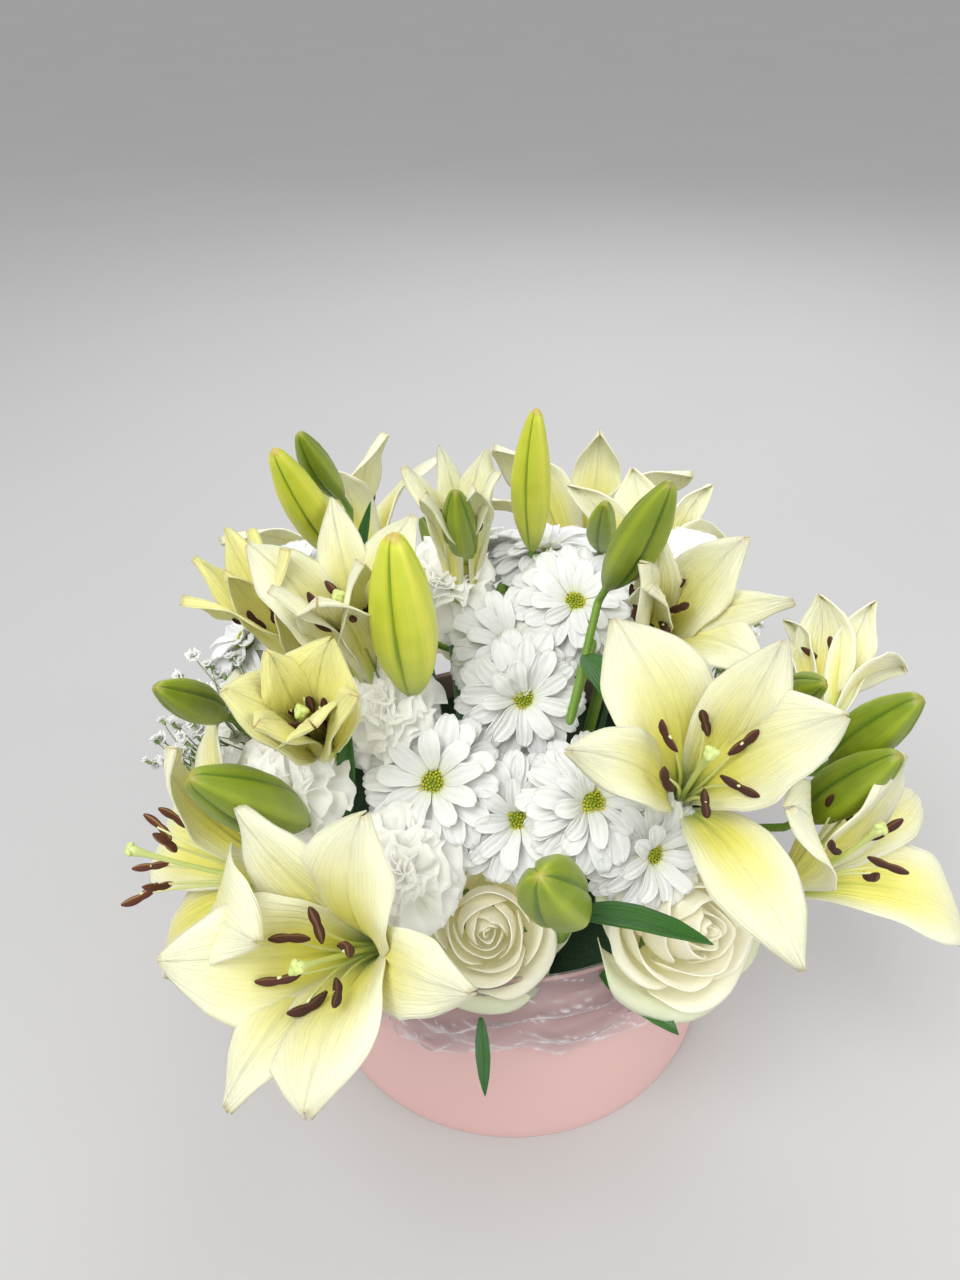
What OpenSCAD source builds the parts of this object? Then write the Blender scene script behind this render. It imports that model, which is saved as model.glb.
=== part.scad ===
// Flower box: lilies, roses, chrysanthemums, carnations and gypsophila stand in a block of
// wet floral foam inside a round board box with a clear film liner.
// Millimetres, +Z up. The origin is the centre of the box's underside and the front faces -Y.

/* [Box] */
// Outer diameter of the round box
box_d = 225; // [205:1:250]
// Height of the box
box_h = 135; // [115:1:160]
// Thickness of the board wall and floor
board_t = 2.5; // [1.5:0.5:4]
// Thickness of the clear film, drawn heavier than it is
film_t = 0.6; // [0.4:0.1:1]
// How far the film is folded down over the outside of the rim
film_fold = 60; // [15:1:80]
// How far the foam stops below the rim
foam_drop = 17; // [10:1:35]

/* [Lilies] */
// Thickness of a lily tepal in its middle
tepal_t = 2; // [1:0.1:3]
// Width of an inner tepal as a share of its length
inner_tepal_w = 0.20; // [0.12:0.01:0.26]
// Width of an outer tepal as a share of its length
outer_tepal_w = 0.16; // [0.10:0.01:0.22]
// Length of the pistil as a share of the tepal length
pistil_share = 0.74; // [0.6:0.01:0.8]
// Length of a filament as a share of the tepal length
filament_share = 0.62; // [0.5:0.01:0.7]
// Length of an anther
anther_l = 15; // [10:1:18]
// Radius of a main lily stem
lily_stem_r = 4; // [2.5:0.5:5]
// Radius of the stalk under one lily or bud
lily_stalk_r = 2.2; // [1.5:0.1:3]

/* [Roses] */
// Diameter of a rose
rose_d = 66; // [50:1:75]
// Radius of a rose stem
rose_stem_r = 3; // [2:0.5:4]

/* [Chrysanthemums] */
// Diameter of a chrysanthemum
daisy_d = 58; // [45:1:65]
// Rays in each of the two rings
daisy_rays = 10; // [8:1:11]
// Radius of a chrysanthemum stem
daisy_stem_r = 1.8; // [1.2:0.1:2.5]

/* [Carnations] */
// Diameter of a carnation
carnation_d = 50; // [40:1:60]
// Radius of a carnation stem
carnation_stem_r = 2; // [1.5:0.1:2.5]

/* [Gypsophila] */
// Diameter of one small flower
floret_d = 5; // [3:0.5:7]

/* [Hidden] */
$fn = 48;
LILIES = 13;
ROSES = 4;

// Places are written for a 225 mm box, with heights measured from the rim, and follow the box's size.
spread_k = box_d / 225;
function place(p) = [p[0] * spread_k, p[1] * spread_k, box_h + p[2]];

foam_top = box_h - foam_drop;
foam_foot = 40;
foam_r = box_d / 2 - board_t - film_t - 1.5;
socket_gap = 0.15;
stalk_sides = 6;

function unit(v) = v / norm(v);
// Direction from a compass turn in the plan (0 is +X, -90 the front) and a rise above level
function facing(turn, rise) = [cos(turn) * cos(rise), sin(turn) * cos(rise), sin(rise)];
// A local direction (z along the flower's axis) turned to where the flower faces
function turned(v, f) = let(a = f[0], b = 90 - f[1], x = v[0] * cos(b) + v[2] * sin(b),
    z = v[2] * cos(b) - v[0] * sin(b)) [x * cos(a) - v[1] * sin(a), x * sin(a) + v[1] * cos(a), z];
function bezier(p, t) = pow(1 - t, 3) * p[0] + 3 * pow(1 - t, 2) * t * p[1]
    + 3 * (1 - t) * t * t * p[2] + pow(t, 3) * p[3];

module face_to(f) rotate([0, 90 - f[1], f[0]]) children();

// A round stick from a to b
module rod(a, b, r) {
    v = b - a;
    translate(a) rotate([0, acos(v[2] / norm(v)), atan2(v[1], v[0])]) cylinder(h = norm(v), r = r);
}

// A stem through all its points, rounded where it bends
module stalk(points, r, sides = stalk_sides) for (i = [1:len(points) - 1]) hull() {
    translate(points[i - 1]) sphere(r, $fn = sides);
    translate(points[i]) sphere(r, $fn = sides);
}

// A pointed blade: a lens section along a centre line, with half widths and side directions
module blade(line, half_w, thick, side, bulge) {
    n = len(line);
    ring = [for (i = [1:n - 2]) each
        [line[i] - side * half_w[i], line[i] + bulge[i] * thick, line[i] + side * half_w[i],
         line[i] - bulge[i] * thick]];
    points = concat([line[0]], ring, [line[n - 1]]);
    last = len(points) - 1;
    faces = concat(
        [for (k = [0:3]) [0, 1 + k, 1 + (k + 1) % 4]],
        [for (i = [0:n - 4]) for (k = [0:3]) [1 + 4 * i + k, 5 + 4 * i + k, 5 + 4 * i + (k + 1) % 4]],
        [for (i = [0:n - 4]) for (k = [0:3])
            [1 + 4 * i + k, 5 + 4 * i + (k + 1) % 4, 1 + 4 * i + (k + 1) % 4]],
        [for (k = [0:3]) [last, last - 4 + (k + 1) % 4, last - 4 + k]]);
    polyhedron(points, faces);
}

// ---- Box ----

module box_wall() color([0.93, 0.76, 0.74]) difference() {
    cylinder(h = box_h, d = box_d);
    translate([0, 0, -1]) cylinder(h = box_h + 2, d = box_d - 2 * board_t);
}

module box_base() color([0.93, 0.76, 0.74])
    cylinder(h = board_t, d = box_d - 2 * board_t - 0.2);

module liner_film() color([0.85, 0.88, 0.9, 0.35]) {
    inside = box_d / 2 - board_t - 0.3;
    outside = box_d / 2 + 0.3;
    top = box_h + 0.3;
    rotate_extrude() polygon([
        [inside - film_t, board_t + 0.4], [inside, board_t + 0.4], [inside, top], [outside, top],
        [outside, box_h - film_fold], [outside + film_t, box_h - film_fold],
        [outside + film_t, top + film_t], [inside - film_t, top + film_t]]);
}

module floral_foam() color([0.16, 0.36, 0.2]) difference() {
    translate([0, 0, board_t + 0.5]) cylinder(h = foam_top - board_t - 0.5, r = foam_r);
    for (s = sockets) rod(s[0], s[1], s[2] + socket_gap);
}

// ---- Lilies ----

// Each open lily: foot of the flower, [compass, rise] it faces, tepal length, and for each tepal
// [turn about the axis, lean outwards] and, for a shorter one, its share of that length. Inner and
// outer tepals take turns, an inner one first.
lilies = [
    [[-51, -121, 36], [-115, 45], 100, [[40, 25], [105, 40], [170, 35], [220, 35], [285, 25], [0, 25]]],
    [[-95, -92, 38], [-170, 30], 97, [[125, 70], [175, 40], [230, 60], [275, 65], [310, 65], [350, 80]]],
    [[-79, -57, 81], [-90, 60], 86, [[35, 10], [85, 15], [145, 15], [210, 10], [270, 15], [325, 10]]],
    [[-59, -33, 98], [-120, 75], 90, [[30, 15], [90, 10], [155, 25], [215, 25], [275, 25], [340, 15]]],
    [[-83, -23, 92], [-165, 65], 86, [[35, 15], [95, 10], [150, 20], [205, 10], [265, 15], [320, 10]]],
    [[-23, 12, 105], [-80, 85], 86, [[15, 10], [70, 10], [135, 12], [195, 15], [255, 15], [315, 15]]],
    [[67, 18, 110], [90, 0], 88, [[175, 20], [235, 30], [280, 35], [330, 20], [40, 20], [125, 30]]],
    [[62, -8, 100], [-95, 58], 92, [[50, 32], [85, 32], [120, 22], [195, 8], [262, 4], [330, 5]]],
    [[72, -69, 67], [-90, 60], 102, [[325, 120, 0.5], [20, 50], [100, 25], [145, 25], [215, 35], [275, 30]]],
    [[113, -86, 29], [-25, 60], 94, [[25, 80], [65, 70], [140, 10], [220, 35], [255, 40], [285, 35]]],
    [[135, -42, 77], [70, 5], 88, [[25, 15], [85, 15], [150, 12], [215, 15], [290, 25], [340, 12]]],
    [[34, 92, 62], [80, 45], 98, [[10, 45], [70, 50], [130, 40], [190, 30], [250, 40], [310, 50]]],
    [[-70, 78, 68], [130, 50], 96, [[25, 50], [85, 45], [145, 35], [205, 30], [265, 45], [325, 55]]]];

// A tepal leaves the flower's foot along the axis and curves out to its tip
tepal_stations = [0, 0.12, 0.28, 0.46, 0.64, 0.82, 1];
tepal_width = [0, 0.30, 0.62, 0.95, 1, 0.62, 0];
// Half width over distance from the axis, at which neighbouring tepals stay apart
tepal_clear = 0.36;
module tepal(length, turn, lean, inner) {
    start_r = inner ? 2.5 : 5;
    roll = min(1.7 * lean + 10, 150);
    tip = length * [sin(lean), 0, cos(lean)];
    curve = [[start_r, 0, 0], [start_r + length * 0.12 * sin(lean), 0, length * 0.4],
             tip - length * 0.32 * [sin(roll), 0, cos(roll)], tip];
    line = [for (t = tepal_stations) bezier(curve, t)];
    n = len(line);
    along = [for (i = [0:n - 1]) unit(line[min(i + 1, n - 1)] - line[max(i - 1, 0)])];
    out = [for (d = along) [d[2], 0, -d[0]]];
    half = [for (i = [0:n - 1]) min(line[i][0] * tepal_clear,
        tepal_width[i] * length * (inner ? inner_tepal_w : outer_tepal_w) / 2)];
    rotate([0, 0, turn]) blade(line, half, tepal_t / 2, [0, 1, 0], out);
}

module lily_tepals(i) color(i == 2 || i == 4 ? [0.97, 0.93, 0.55] : [0.96, 0.95, 0.78])
    let(l = lilies[i]) translate(place(l[0])) face_to(l[1])
        for (k = [0:5]) let(t = l[3][k])
            tepal(l[2] * (len(t) > 2 ? t[2] : 1), t[0], t[1], k % 2 == 0);

// How far a lily has opened, as the middle lean of its tepals
function openness(l) = let(s = [for (t = l[3]) min(t[1], 70)]) (s[0] + s[1] + s[2] + s[3] + s[4] + s[5]) / 6;

// A thread with its anther set across its end
module stamen(length, turn, lean) rotate([0, 0, turn]) translate([1.6, 0, 3]) rotate([0, lean, 0]) {
    cylinder(h = length, r = 0.7);
    translate([0, 0, length - 1]) rotate([0, 25, 0]) rotate_extrude() polygon([
        [0, -anther_l / 2], [1.3, -anther_l / 3], [1.6, 0], [1.3, anther_l / 3], [0, anther_l / 2]]);
}

module lily_stamens(i) color([0.36, 0.16, 0.1]) {
    l = lilies[i];
    lean = min(4 + openness(l) * 0.35, 20);
    translate(place(l[0])) face_to(l[1]) for (k = [0:5])
        stamen(l[2] * (filament_share - 0.03 * (k % 2)), l[3][0][0] + 30 + 60 * k, lean);
}

module lily_pistils() color([0.74, 0.84, 0.4]) for (l = lilies)
    translate(place(l[0])) face_to(l[1]) let(h = l[2] * pistil_share) rotate_extrude() polygon([
        [0, -3], [1.2, -3], [1.4, 12], [0.8, 16], [0.9, h - 8], [1.4, h - 3], [2.9, h], [0, h]]);

// Each lily stem: the point it stands on in the foam, then the points where it forks
lily_stems = [
    [[-34, -22, -95], [-62, -16, 66], [-72, 4, 112]],
    [[-40, -48, -95], [-72, -78, 18]],
    [[-6, 8, -95], [-10, 16, 80], [-4, 22, 118]],
    [[20, 2, -95], [44, 6, 72], [42, 2, 118]],
    [[44, -30, -95], [88, -50, 30], [112, -44, 62]],
    [[10, -54, -95], [26, -108, 40]],
    [[-10, 46, -95], [-14, 78, 30], [-12, 92, 56]]];

// Each bud: foot of the bud, [compass, rise] it points, length, diameter and, where its stalk bends,
// the point it bends at
lily_buds = [
    [[[-42, -45, 109], [-90, 77], 91, 28], [[-78, 17, 138], [-105, 58], 88, 19],
     [[-77, 26, 164], [-100, 52], 60, 14]],
    [[[-122, -54, 102], [-100, 50], 62, 17, [-106, -50, 77]], [[-85, -90, 76], [-118, 54], 82, 25]],
    [[[-20, 12, 137], [-95, 62], 58, 16], [[10, 28, 136], [-90, 72], 84, 18]],
    [[[42, 27, 136], [-95, 52], 52, 14], [[40, -28, 151], [-66, 60], 74, 20, [24, -66, 110]]],
    [[[117, -35, 98], [-85, 45], 52, 15], [[138, -58, 82], [-55, 63], 60, 22],
     [[124, -75, 66], [-45, 62], 62, 22]],
    [[[25, -121, 60], [-120, 60], 60, 27]],
    [[[-24, 108, 60], [120, 15], 66, 19], [[4, 108, 66], [70, 20], 56, 15]]];

function bud_tip(b) = place(b[0]) + b[2] * facing(b[1][0], b[1][1]);

// Which lilies stand on which stem, as [stem, fork] for each lily
lily_forks = [[1, 1], [1, 1], [0, 1], [0, 1], [0, 1], [2, 1], [3, 1], [3, 1], [4, 1], [4, 1], [4, 2],
              [6, 1], [6, 1]];
bud_forks = [[1, 2, 2], [1, 1], [1, 2], [1, 2], [2, 2, 1], [1], [2, 2]];

module lily_stem(s) color([0.36, 0.55, 0.16]) {
    spine = [for (p = lily_stems[s]) place(p)];
    stalk(spine, lily_stem_r * 0.8);
    for (i = [0:LILIES - 1]) if (lily_forks[i][0] == s) let(l = lilies[i], foot = place(l[0]))
        stalk([spine[lily_forks[i][1]], foot - 14 * facing(l[1][0], l[1][1]), foot - 3.5 * facing(l[1][0],
            l[1][1])], lily_stalk_r);
    for (k = [0:len(lily_buds[s]) - 1]) let(b = lily_buds[s][k], foot = place(b[0]))
        stalk(concat([spine[bud_forks[s][k]]], len(b) > 4 ? [place(b[4])] : [], [foot
            - 14 * facing(b[1][0], b[1][1]), foot - 0.5 * facing(b[1][0], b[1][1])]), lily_stalk_r);
}

module lily_bud(length, d) rotate_extrude() polygon([
    [0, 0], [d * 0.14, 0], [d * 0.30, length * 0.10], [d * 0.42, length * 0.25], [d * 0.5, length * 0.50],
    [d * 0.46, length * 0.70], [d * 0.32, length * 0.88], [d * 0.12, length * 0.99], [0, length]]);

module lily_bud_group(s) color([0.62, 0.74, 0.2]) for (b = lily_buds[s])
    translate(place(b[0])) face_to(b[1]) lily_bud(b[2], b[3]);

// Each leaf: foot, [compass, rise] it leaves in, length, width and how far its tip drops
leaf_list = [
    [[24, -109, 44], [-40, 40], 70, 14, 14], [[40, -106, -2], [-40, 5], 40, 14, 8],
    [[-12, -135, 9], [-85, -35], 30, 6, 2], [[-70, -75, 60], [85, 75], 54, 8, 2],
    [[31, -44, 127], [-75, 20], 42, 14, 12], [[-74, 12, 118], [60, 70], 46, 7, 4],
    [[70, 100, 10], [60, 30], 76, 16, 18], [[-104, 52, 12], [150, 25], 72, 16, 18],
    [[112, 30, 14], [15, 25], 70, 16, 18], [[-20, 112, 14], [95, 20], 66, 15, 18],
    [[-60, 100, 0], [120, 10], 46, 13, 8], [[-108, -24, 16], [-175, 15], 60, 14, 16]];
leaf_stations = [0, 0.15, 0.35, 0.6, 0.8, 1];
leaf_width = [0, 0.6, 0.95, 1, 0.65, 0];
module leaf(length, width, drop) {
    line = [for (t = leaf_stations) [0, 0, length * t] + drop * t * t * [1, 0, 0]];
    blade(line, leaf_width * width / 2, 0.7, [0, 1, 0], [for (t = leaf_stations) [1, 0, 0]]);
}

module leaves() color([0.1, 0.36, 0.1]) for (f = leaf_list)
    translate(place(f[0])) face_to(f[1]) leaf(f[2], f[3], f[4]);

// ---- Roses ----

// Each rose: centre of the flower, [compass, rise] it faces and its size as a share of rose_d
roses = [
    [[-10, -96, 18], [-85, 42], 1], [[74, -100, 26], [-62, 40], 1.1], [[-16, 118, 24], [100, 35], 1],
    [[118, 20, 34], [20, 40], 1]];

// A cupped petal: a slice of a bowl that opens outwards at its lip
module rose_petal(r, h, turn, slice) rotate([0, 0, turn]) rotate_extrude(angle = slice) polygon([
    [r * 0.35, -h * 0.45], [r * 0.85, -h * 0.2], [r, h * 0.15], [r * 0.97, h * 0.4], [r * 1.06, h * 0.5],
    [r * 1.06 - 0.9, h * 0.52], [r * 0.97 - 1.1, h * 0.41], [r - 1.2, h * 0.15],
    [r * 0.85 - 1, -h * 0.18], [r * 0.35, -h * 0.45 + 1]]);

rose_rings = 4;
module rose_petals(i) color([0.95, 0.94, 0.8]) let(r = roses[i], size = rose_d * r[2])
    translate(place(r[0])) face_to(r[1]) {
        for (ring = [0:rose_rings - 1]) let(radius = size * (0.47 - 0.11 * ring), count = ring < 2 ? 3 : 2)
            for (k = [0:count - 1])
                rose_petal(radius, size * (0.62 - 0.03 * ring), 360 / count * k + 50 * ring,
                    360 / count - 8);
        translate([0, 0, -size * 0.1]) cylinder(h = size * 0.38, r1 = size * 0.06, r2 = size * 0.035);
    }

function rose_foot(r) = place(r[0]) - (0.30 * rose_d * r[2]) * facing(r[1][0], r[1][1]);

module rose_stems() color([0.3, 0.48, 0.2]) for (r = roses) {
    foot = rose_foot(r);
    axis = facing(r[1][0], r[1][1]);
    stalk([stem_foot(foot), foot - 10 * axis, foot], rose_stem_r);
    for (k = [0:4]) translate(foot) face_to(r[1]) rotate([0, 0, 72 * k]) rotate([0, 62, 0])
        blade([for (t = [0, 8, 18, 28]) [0, 0, t]], [0, 4, 3, 0], 0.6, [0, 1, 0],
            [for (t = [0:3]) [1, 0, 0]]);
}

// ---- Chrysanthemums ----

// Each chrysanthemum: centre of its disc, [compass, rise] it faces and its size
daisies_front = [
    [[-32, -70, 78], [-100, 50], 1.1], [[2, -78, 66], [-85, 42], 1], [[33, -81, 79], [-70, 50], 1],
    [[57, -91, 61], [-60, 25], 0.95]];
daisies_middle = [
    [[0, -14, 110], [-90, 60], 1], [[5, -36, 98], [-80, 30], 1], [[28, 0, 122], [-75, 60], 1],
    [[-100, 24, 120], [-160, 65], 0.9], [[-121, -4, 105], [-170, 45], 0.9]];
daisies_back = [
    [[-20, 62, 112], [100, 60], 1], [[100, 52, 72], [30, 45], 1], [[-112, 46, 50], [165, 40], 1],
    [[18, 40, 124], [80, 75], 1]];
daisies = concat(daisies_front, daisies_middle, daisies_back);

// The rays stand in two rings, the lower one turned by half a step
module daisy_head(size) {
    r = daisy_d / 2 * size;
    step = 360 / daisy_rays;
    for (ring = [0:1]) for (k = [0:daisy_rays - 1])
        rotate([0, 0, step * (k + ring / 2)]) translate([0, 0, -2.4 * ring]) rotate([0, -14 + 12 * ring, 0])
            linear_extrude(0.8) polygon([[r * 0.24, -0.8], [r * 0.55, -3.2], [r * 0.85, -3.6], [r, -1.2],
                [r, 1.2], [r * 0.85, 3.6], [r * 0.55, 3.2], [r * 0.24, 0.8]]);
}

module daisy_heads(list) color([0.97, 0.97, 0.96]) for (d = list)
    translate(place(d[0])) face_to(d[1]) daisy_head(d[2]);

module daisy_discs() color([0.66, 0.72, 0.1]) for (d = daisies)
    translate(place(d[0])) face_to(d[1]) let(r = daisy_d * 0.112 * d[2]) rotate_extrude() polygon([
        [0, -3.4], [r * 0.5, -3.4], [r * 0.75, 1.6], [r, 2.4], [r * 0.9, 4], [r * 0.5, 5.2], [0, 5.6]]);

module daisy_stems() color([0.36, 0.52, 0.2]) for (d = daisies) {
    axis = facing(d[1][0], d[1][1]);
    foot = place(d[0]) - 4 * axis;
    stalk([stem_foot(foot), foot - 22 * axis, foot], daisy_stem_r);
    translate(foot) face_to(d[1]) translate([0, 0, -4]) cylinder(h = 4.3, r1 = daisy_stem_r + 1, r2 = 6.5, $fn = 9);
}

// ---- Carnations ----

// Each carnation: centre, [compass, rise] it faces and its size
carnations = [
    [[-55, -42, 92], [-100, 60], 0.9], [[-92, -70, 74], [-130, 45], 1], [[-44, -94, 52], [-100, 40], 1],
    [[78, 18, 122], [-60, 65], 0.9], [[-32, 16, 118], [-100, 70], 0.9], [[-58, 112, 34], [115, 35], 1],
    [[72, 96, 36], [60, 35], 1], [[-126, 10, 34], [175, 30], 1]];

// A fan of petals: a tilted slice of a shallow cone
module carnation_ring(r, rise, count, turn) for (k = [0:count - 1])
    rotate([0, 0, turn + 360 / count * k]) rotate_extrude(angle = 360 / count - 14) polygon([
        [r * 0.22, 0], [r, r * rise], [r * 0.97, r * rise + 1], [r * 0.22, 1.2]]);

module carnation_petals() color([0.97, 0.96, 0.88]) for (c = carnations) let(r = carnation_d / 2 * c[2])
    translate(place(c[0])) face_to(c[1]) {
        carnation_ring(r, 0.05, 5, 0);
        translate([0, 0, 4]) carnation_ring(r * 0.88, 0.35, 5, 36);
        translate([0, 0, 8]) carnation_ring(r * 0.68, 0.7, 4, 10);
    }

module carnation_stems() color([0.4, 0.6, 0.4]) for (c = carnations) {
    axis = facing(c[1][0], c[1][1]);
    foot = place(c[0]) - 24 * axis;
    stalk([stem_foot(foot), foot - 8 * axis, foot], carnation_stem_r);
    translate(foot) face_to(c[1]) cylinder(h = 22, r1 = 4, r2 = 5, $fn = 10);
}

// ---- Gypsophila ----

// Each sprig: centre of its cloud, [compass, rise] of the sprig, and the cloud's radius
sprigs = [
    [[-126, -27, 92], [-170, 45], 30], [[-148, -40, 68], [-160, 20], 26], [[72, 14, 116], [70, 60], 28],
    [[98, 2, 100], [30, 50], 28], [[40, 70, 96], [80, 55], 28], [[-70, 40, 104], [130, 55], 28]];
florets = 12;
function sprig_root(s) = place(s[0]) - s[2] * 0.5 * facing(s[1][0], s[1][1]);

// The flowers of a sprig sit on a bowl of directions around its own, at two depths
function floret_at(i, radius) = let(turn = 137.5 * i, lean = 12 + 5.2 * i)
    radius * (i % 2 == 0 ? 1 : 0.72) * [sin(lean) * cos(turn), sin(lean) * sin(turn), cos(lean)];

module gypsophila() color([0.93, 0.94, 0.9]) for (s = sprigs) {
    root = sprig_root(s);
    for (i = [0:florets - 1]) let(p = root + turned(floret_at(i, s[2]), s[1])) {
        stalk([root, p], 0.4, 4);
        translate(p) sphere(d = floret_d, $fn = 6);
    }
    stalk([stem_foot(root), root], 0.9);
}

// ---- Stems in the foam ----

// A stem stands in the foam under its flower, drawn in towards the middle of the box
stem_draw_in = 0.62;
function stem_foot(p) = [p[0] * stem_draw_in, p[1] * stem_draw_in, foam_foot];

sockets = concat(
    [for (s = lily_stems) [place(s[0]), place(s[1]), lily_stem_r * 0.8]],
    [for (r = roses) let(f = rose_foot(r)) [stem_foot(f), f - 10 * facing(r[1][0], r[1][1]), rose_stem_r]],
    [for (d = daisies) let(a = facing(d[1][0], d[1][1])) [stem_foot(place(d[0]) - 4 * a),
        place(d[0]) - 26 * a, daisy_stem_r]],
    [for (c = carnations) let(a = facing(c[1][0], c[1][1])) [stem_foot(place(c[0]) - 24 * a),
        place(c[0]) - 32 * a, carnation_stem_r]],
    [for (s = sprigs) [stem_foot(sprig_root(s)), sprig_root(s), 0.9]]);

box_wall();
box_base();
liner_film();
floral_foam();
for (i = [0:LILIES - 1]) {
    lily_tepals(i);
    lily_stamens(i);
}
lily_pistils();
for (i = [0:6]) {
    lily_stem(i);
    lily_bud_group(i);
}
leaves();
for (i = [0:ROSES - 1]) rose_petals(i);
rose_stems();
daisy_heads(daisies_front);  // daisy_rays_front
daisy_heads(daisies_middle);  // daisy_rays_middle
daisy_heads(daisies_back);  // daisy_rays_back
daisy_discs();
daisy_stems();
carnation_petals();
carnation_stems();
gypsophila();
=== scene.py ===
"""Lilies, roses, chrysanthemums, carnations and gypsophila in a round box lined with film."""
import logging
import math
from dataclasses import dataclass, field
from enum import Enum

import bmesh
import bpy
import numpy as np
from mathutils import Matrix, Vector, kdtree


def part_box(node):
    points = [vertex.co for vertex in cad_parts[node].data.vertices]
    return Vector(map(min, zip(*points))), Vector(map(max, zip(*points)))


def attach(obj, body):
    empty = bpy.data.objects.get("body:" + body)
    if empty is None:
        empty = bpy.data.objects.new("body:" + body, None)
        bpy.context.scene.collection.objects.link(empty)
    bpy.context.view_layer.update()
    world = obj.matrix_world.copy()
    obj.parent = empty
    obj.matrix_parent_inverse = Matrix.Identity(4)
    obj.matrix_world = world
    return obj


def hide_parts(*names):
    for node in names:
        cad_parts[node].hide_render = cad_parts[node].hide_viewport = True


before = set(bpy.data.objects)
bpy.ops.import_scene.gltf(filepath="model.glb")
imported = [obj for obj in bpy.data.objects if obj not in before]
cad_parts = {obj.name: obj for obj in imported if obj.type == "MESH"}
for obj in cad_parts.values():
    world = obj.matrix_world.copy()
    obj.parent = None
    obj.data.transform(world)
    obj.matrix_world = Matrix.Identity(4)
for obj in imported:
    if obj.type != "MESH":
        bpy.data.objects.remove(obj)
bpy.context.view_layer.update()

LOG = logging.getLogger("flower_box")
MM = 0.001
TURN = 2 * math.pi
GOLDEN_ANGLE = 2.39996
WELD = 1e-6
VARIANTS = 3
Colour = tuple[float, float, float]


# ---------------------------------------------------------------- shader values


class Value:
    """One socket's value in a material, which takes part in arithmetic."""

    def __init__(self, paint: "Paint", socket: bpy.types.NodeSocket) -> None:
        """Keeps the paint and the socket."""
        self.paint = paint
        self.socket = socket

    def calc(self, operation: str, *others: "Value | float", swapped: bool = False,
             clamp: bool = False) -> "Value":
        """Adds one Math node.

        Args:
            operation: The Math node's operation.
            others: The other operands.
            swapped: True puts this value last.
            clamp: True keeps the result from 0 to 1.

        Returns:
            The result as a value.
        """
        values = [self, *others]
        if swapped:
            values.reverse()
        return self.paint.node("ShaderNodeMath", {"operation": operation, "use_clamp": clamp},
                               dict(enumerate(values)))

    def __add__(self, other: "Value | float") -> "Value":
        """The sum."""
        return self.calc("ADD", other)

    __radd__ = __add__

    def __mul__(self, other: "Value | float") -> "Value":
        """The product."""
        return self.calc("MULTIPLY", other)

    __rmul__ = __mul__

    def __sub__(self, other: "Value | float") -> "Value":
        """The difference."""
        return self.calc("SUBTRACT", other)

    def __rsub__(self, other: float) -> "Value":
        """A number less this value."""
        return self.calc("SUBTRACT", other, swapped=True)

    def __pow__(self, power: float) -> "Value":
        """This value to a power."""
        return self.calc("POWER", power)

    def clamped(self) -> "Value":
        """This value kept from 0 to 1."""
        return self.calc("ADD", 0.0, clamp=True)

    def size(self) -> "Value":
        """The value without its sign."""
        return self.calc("ABSOLUTE")

    def wave(self) -> "Value":
        """The sine."""
        return self.calc("SINE")

    def step(self, low: float, high: float) -> "Value":
        """A soft step from 0 at low to 1 at high."""
        return self.paint.node(
            "ShaderNodeMapRange", {"interpolation_type": "SMOOTHSTEP"},
            {"Value": self, "From Min": low, "From Max": high})


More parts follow.
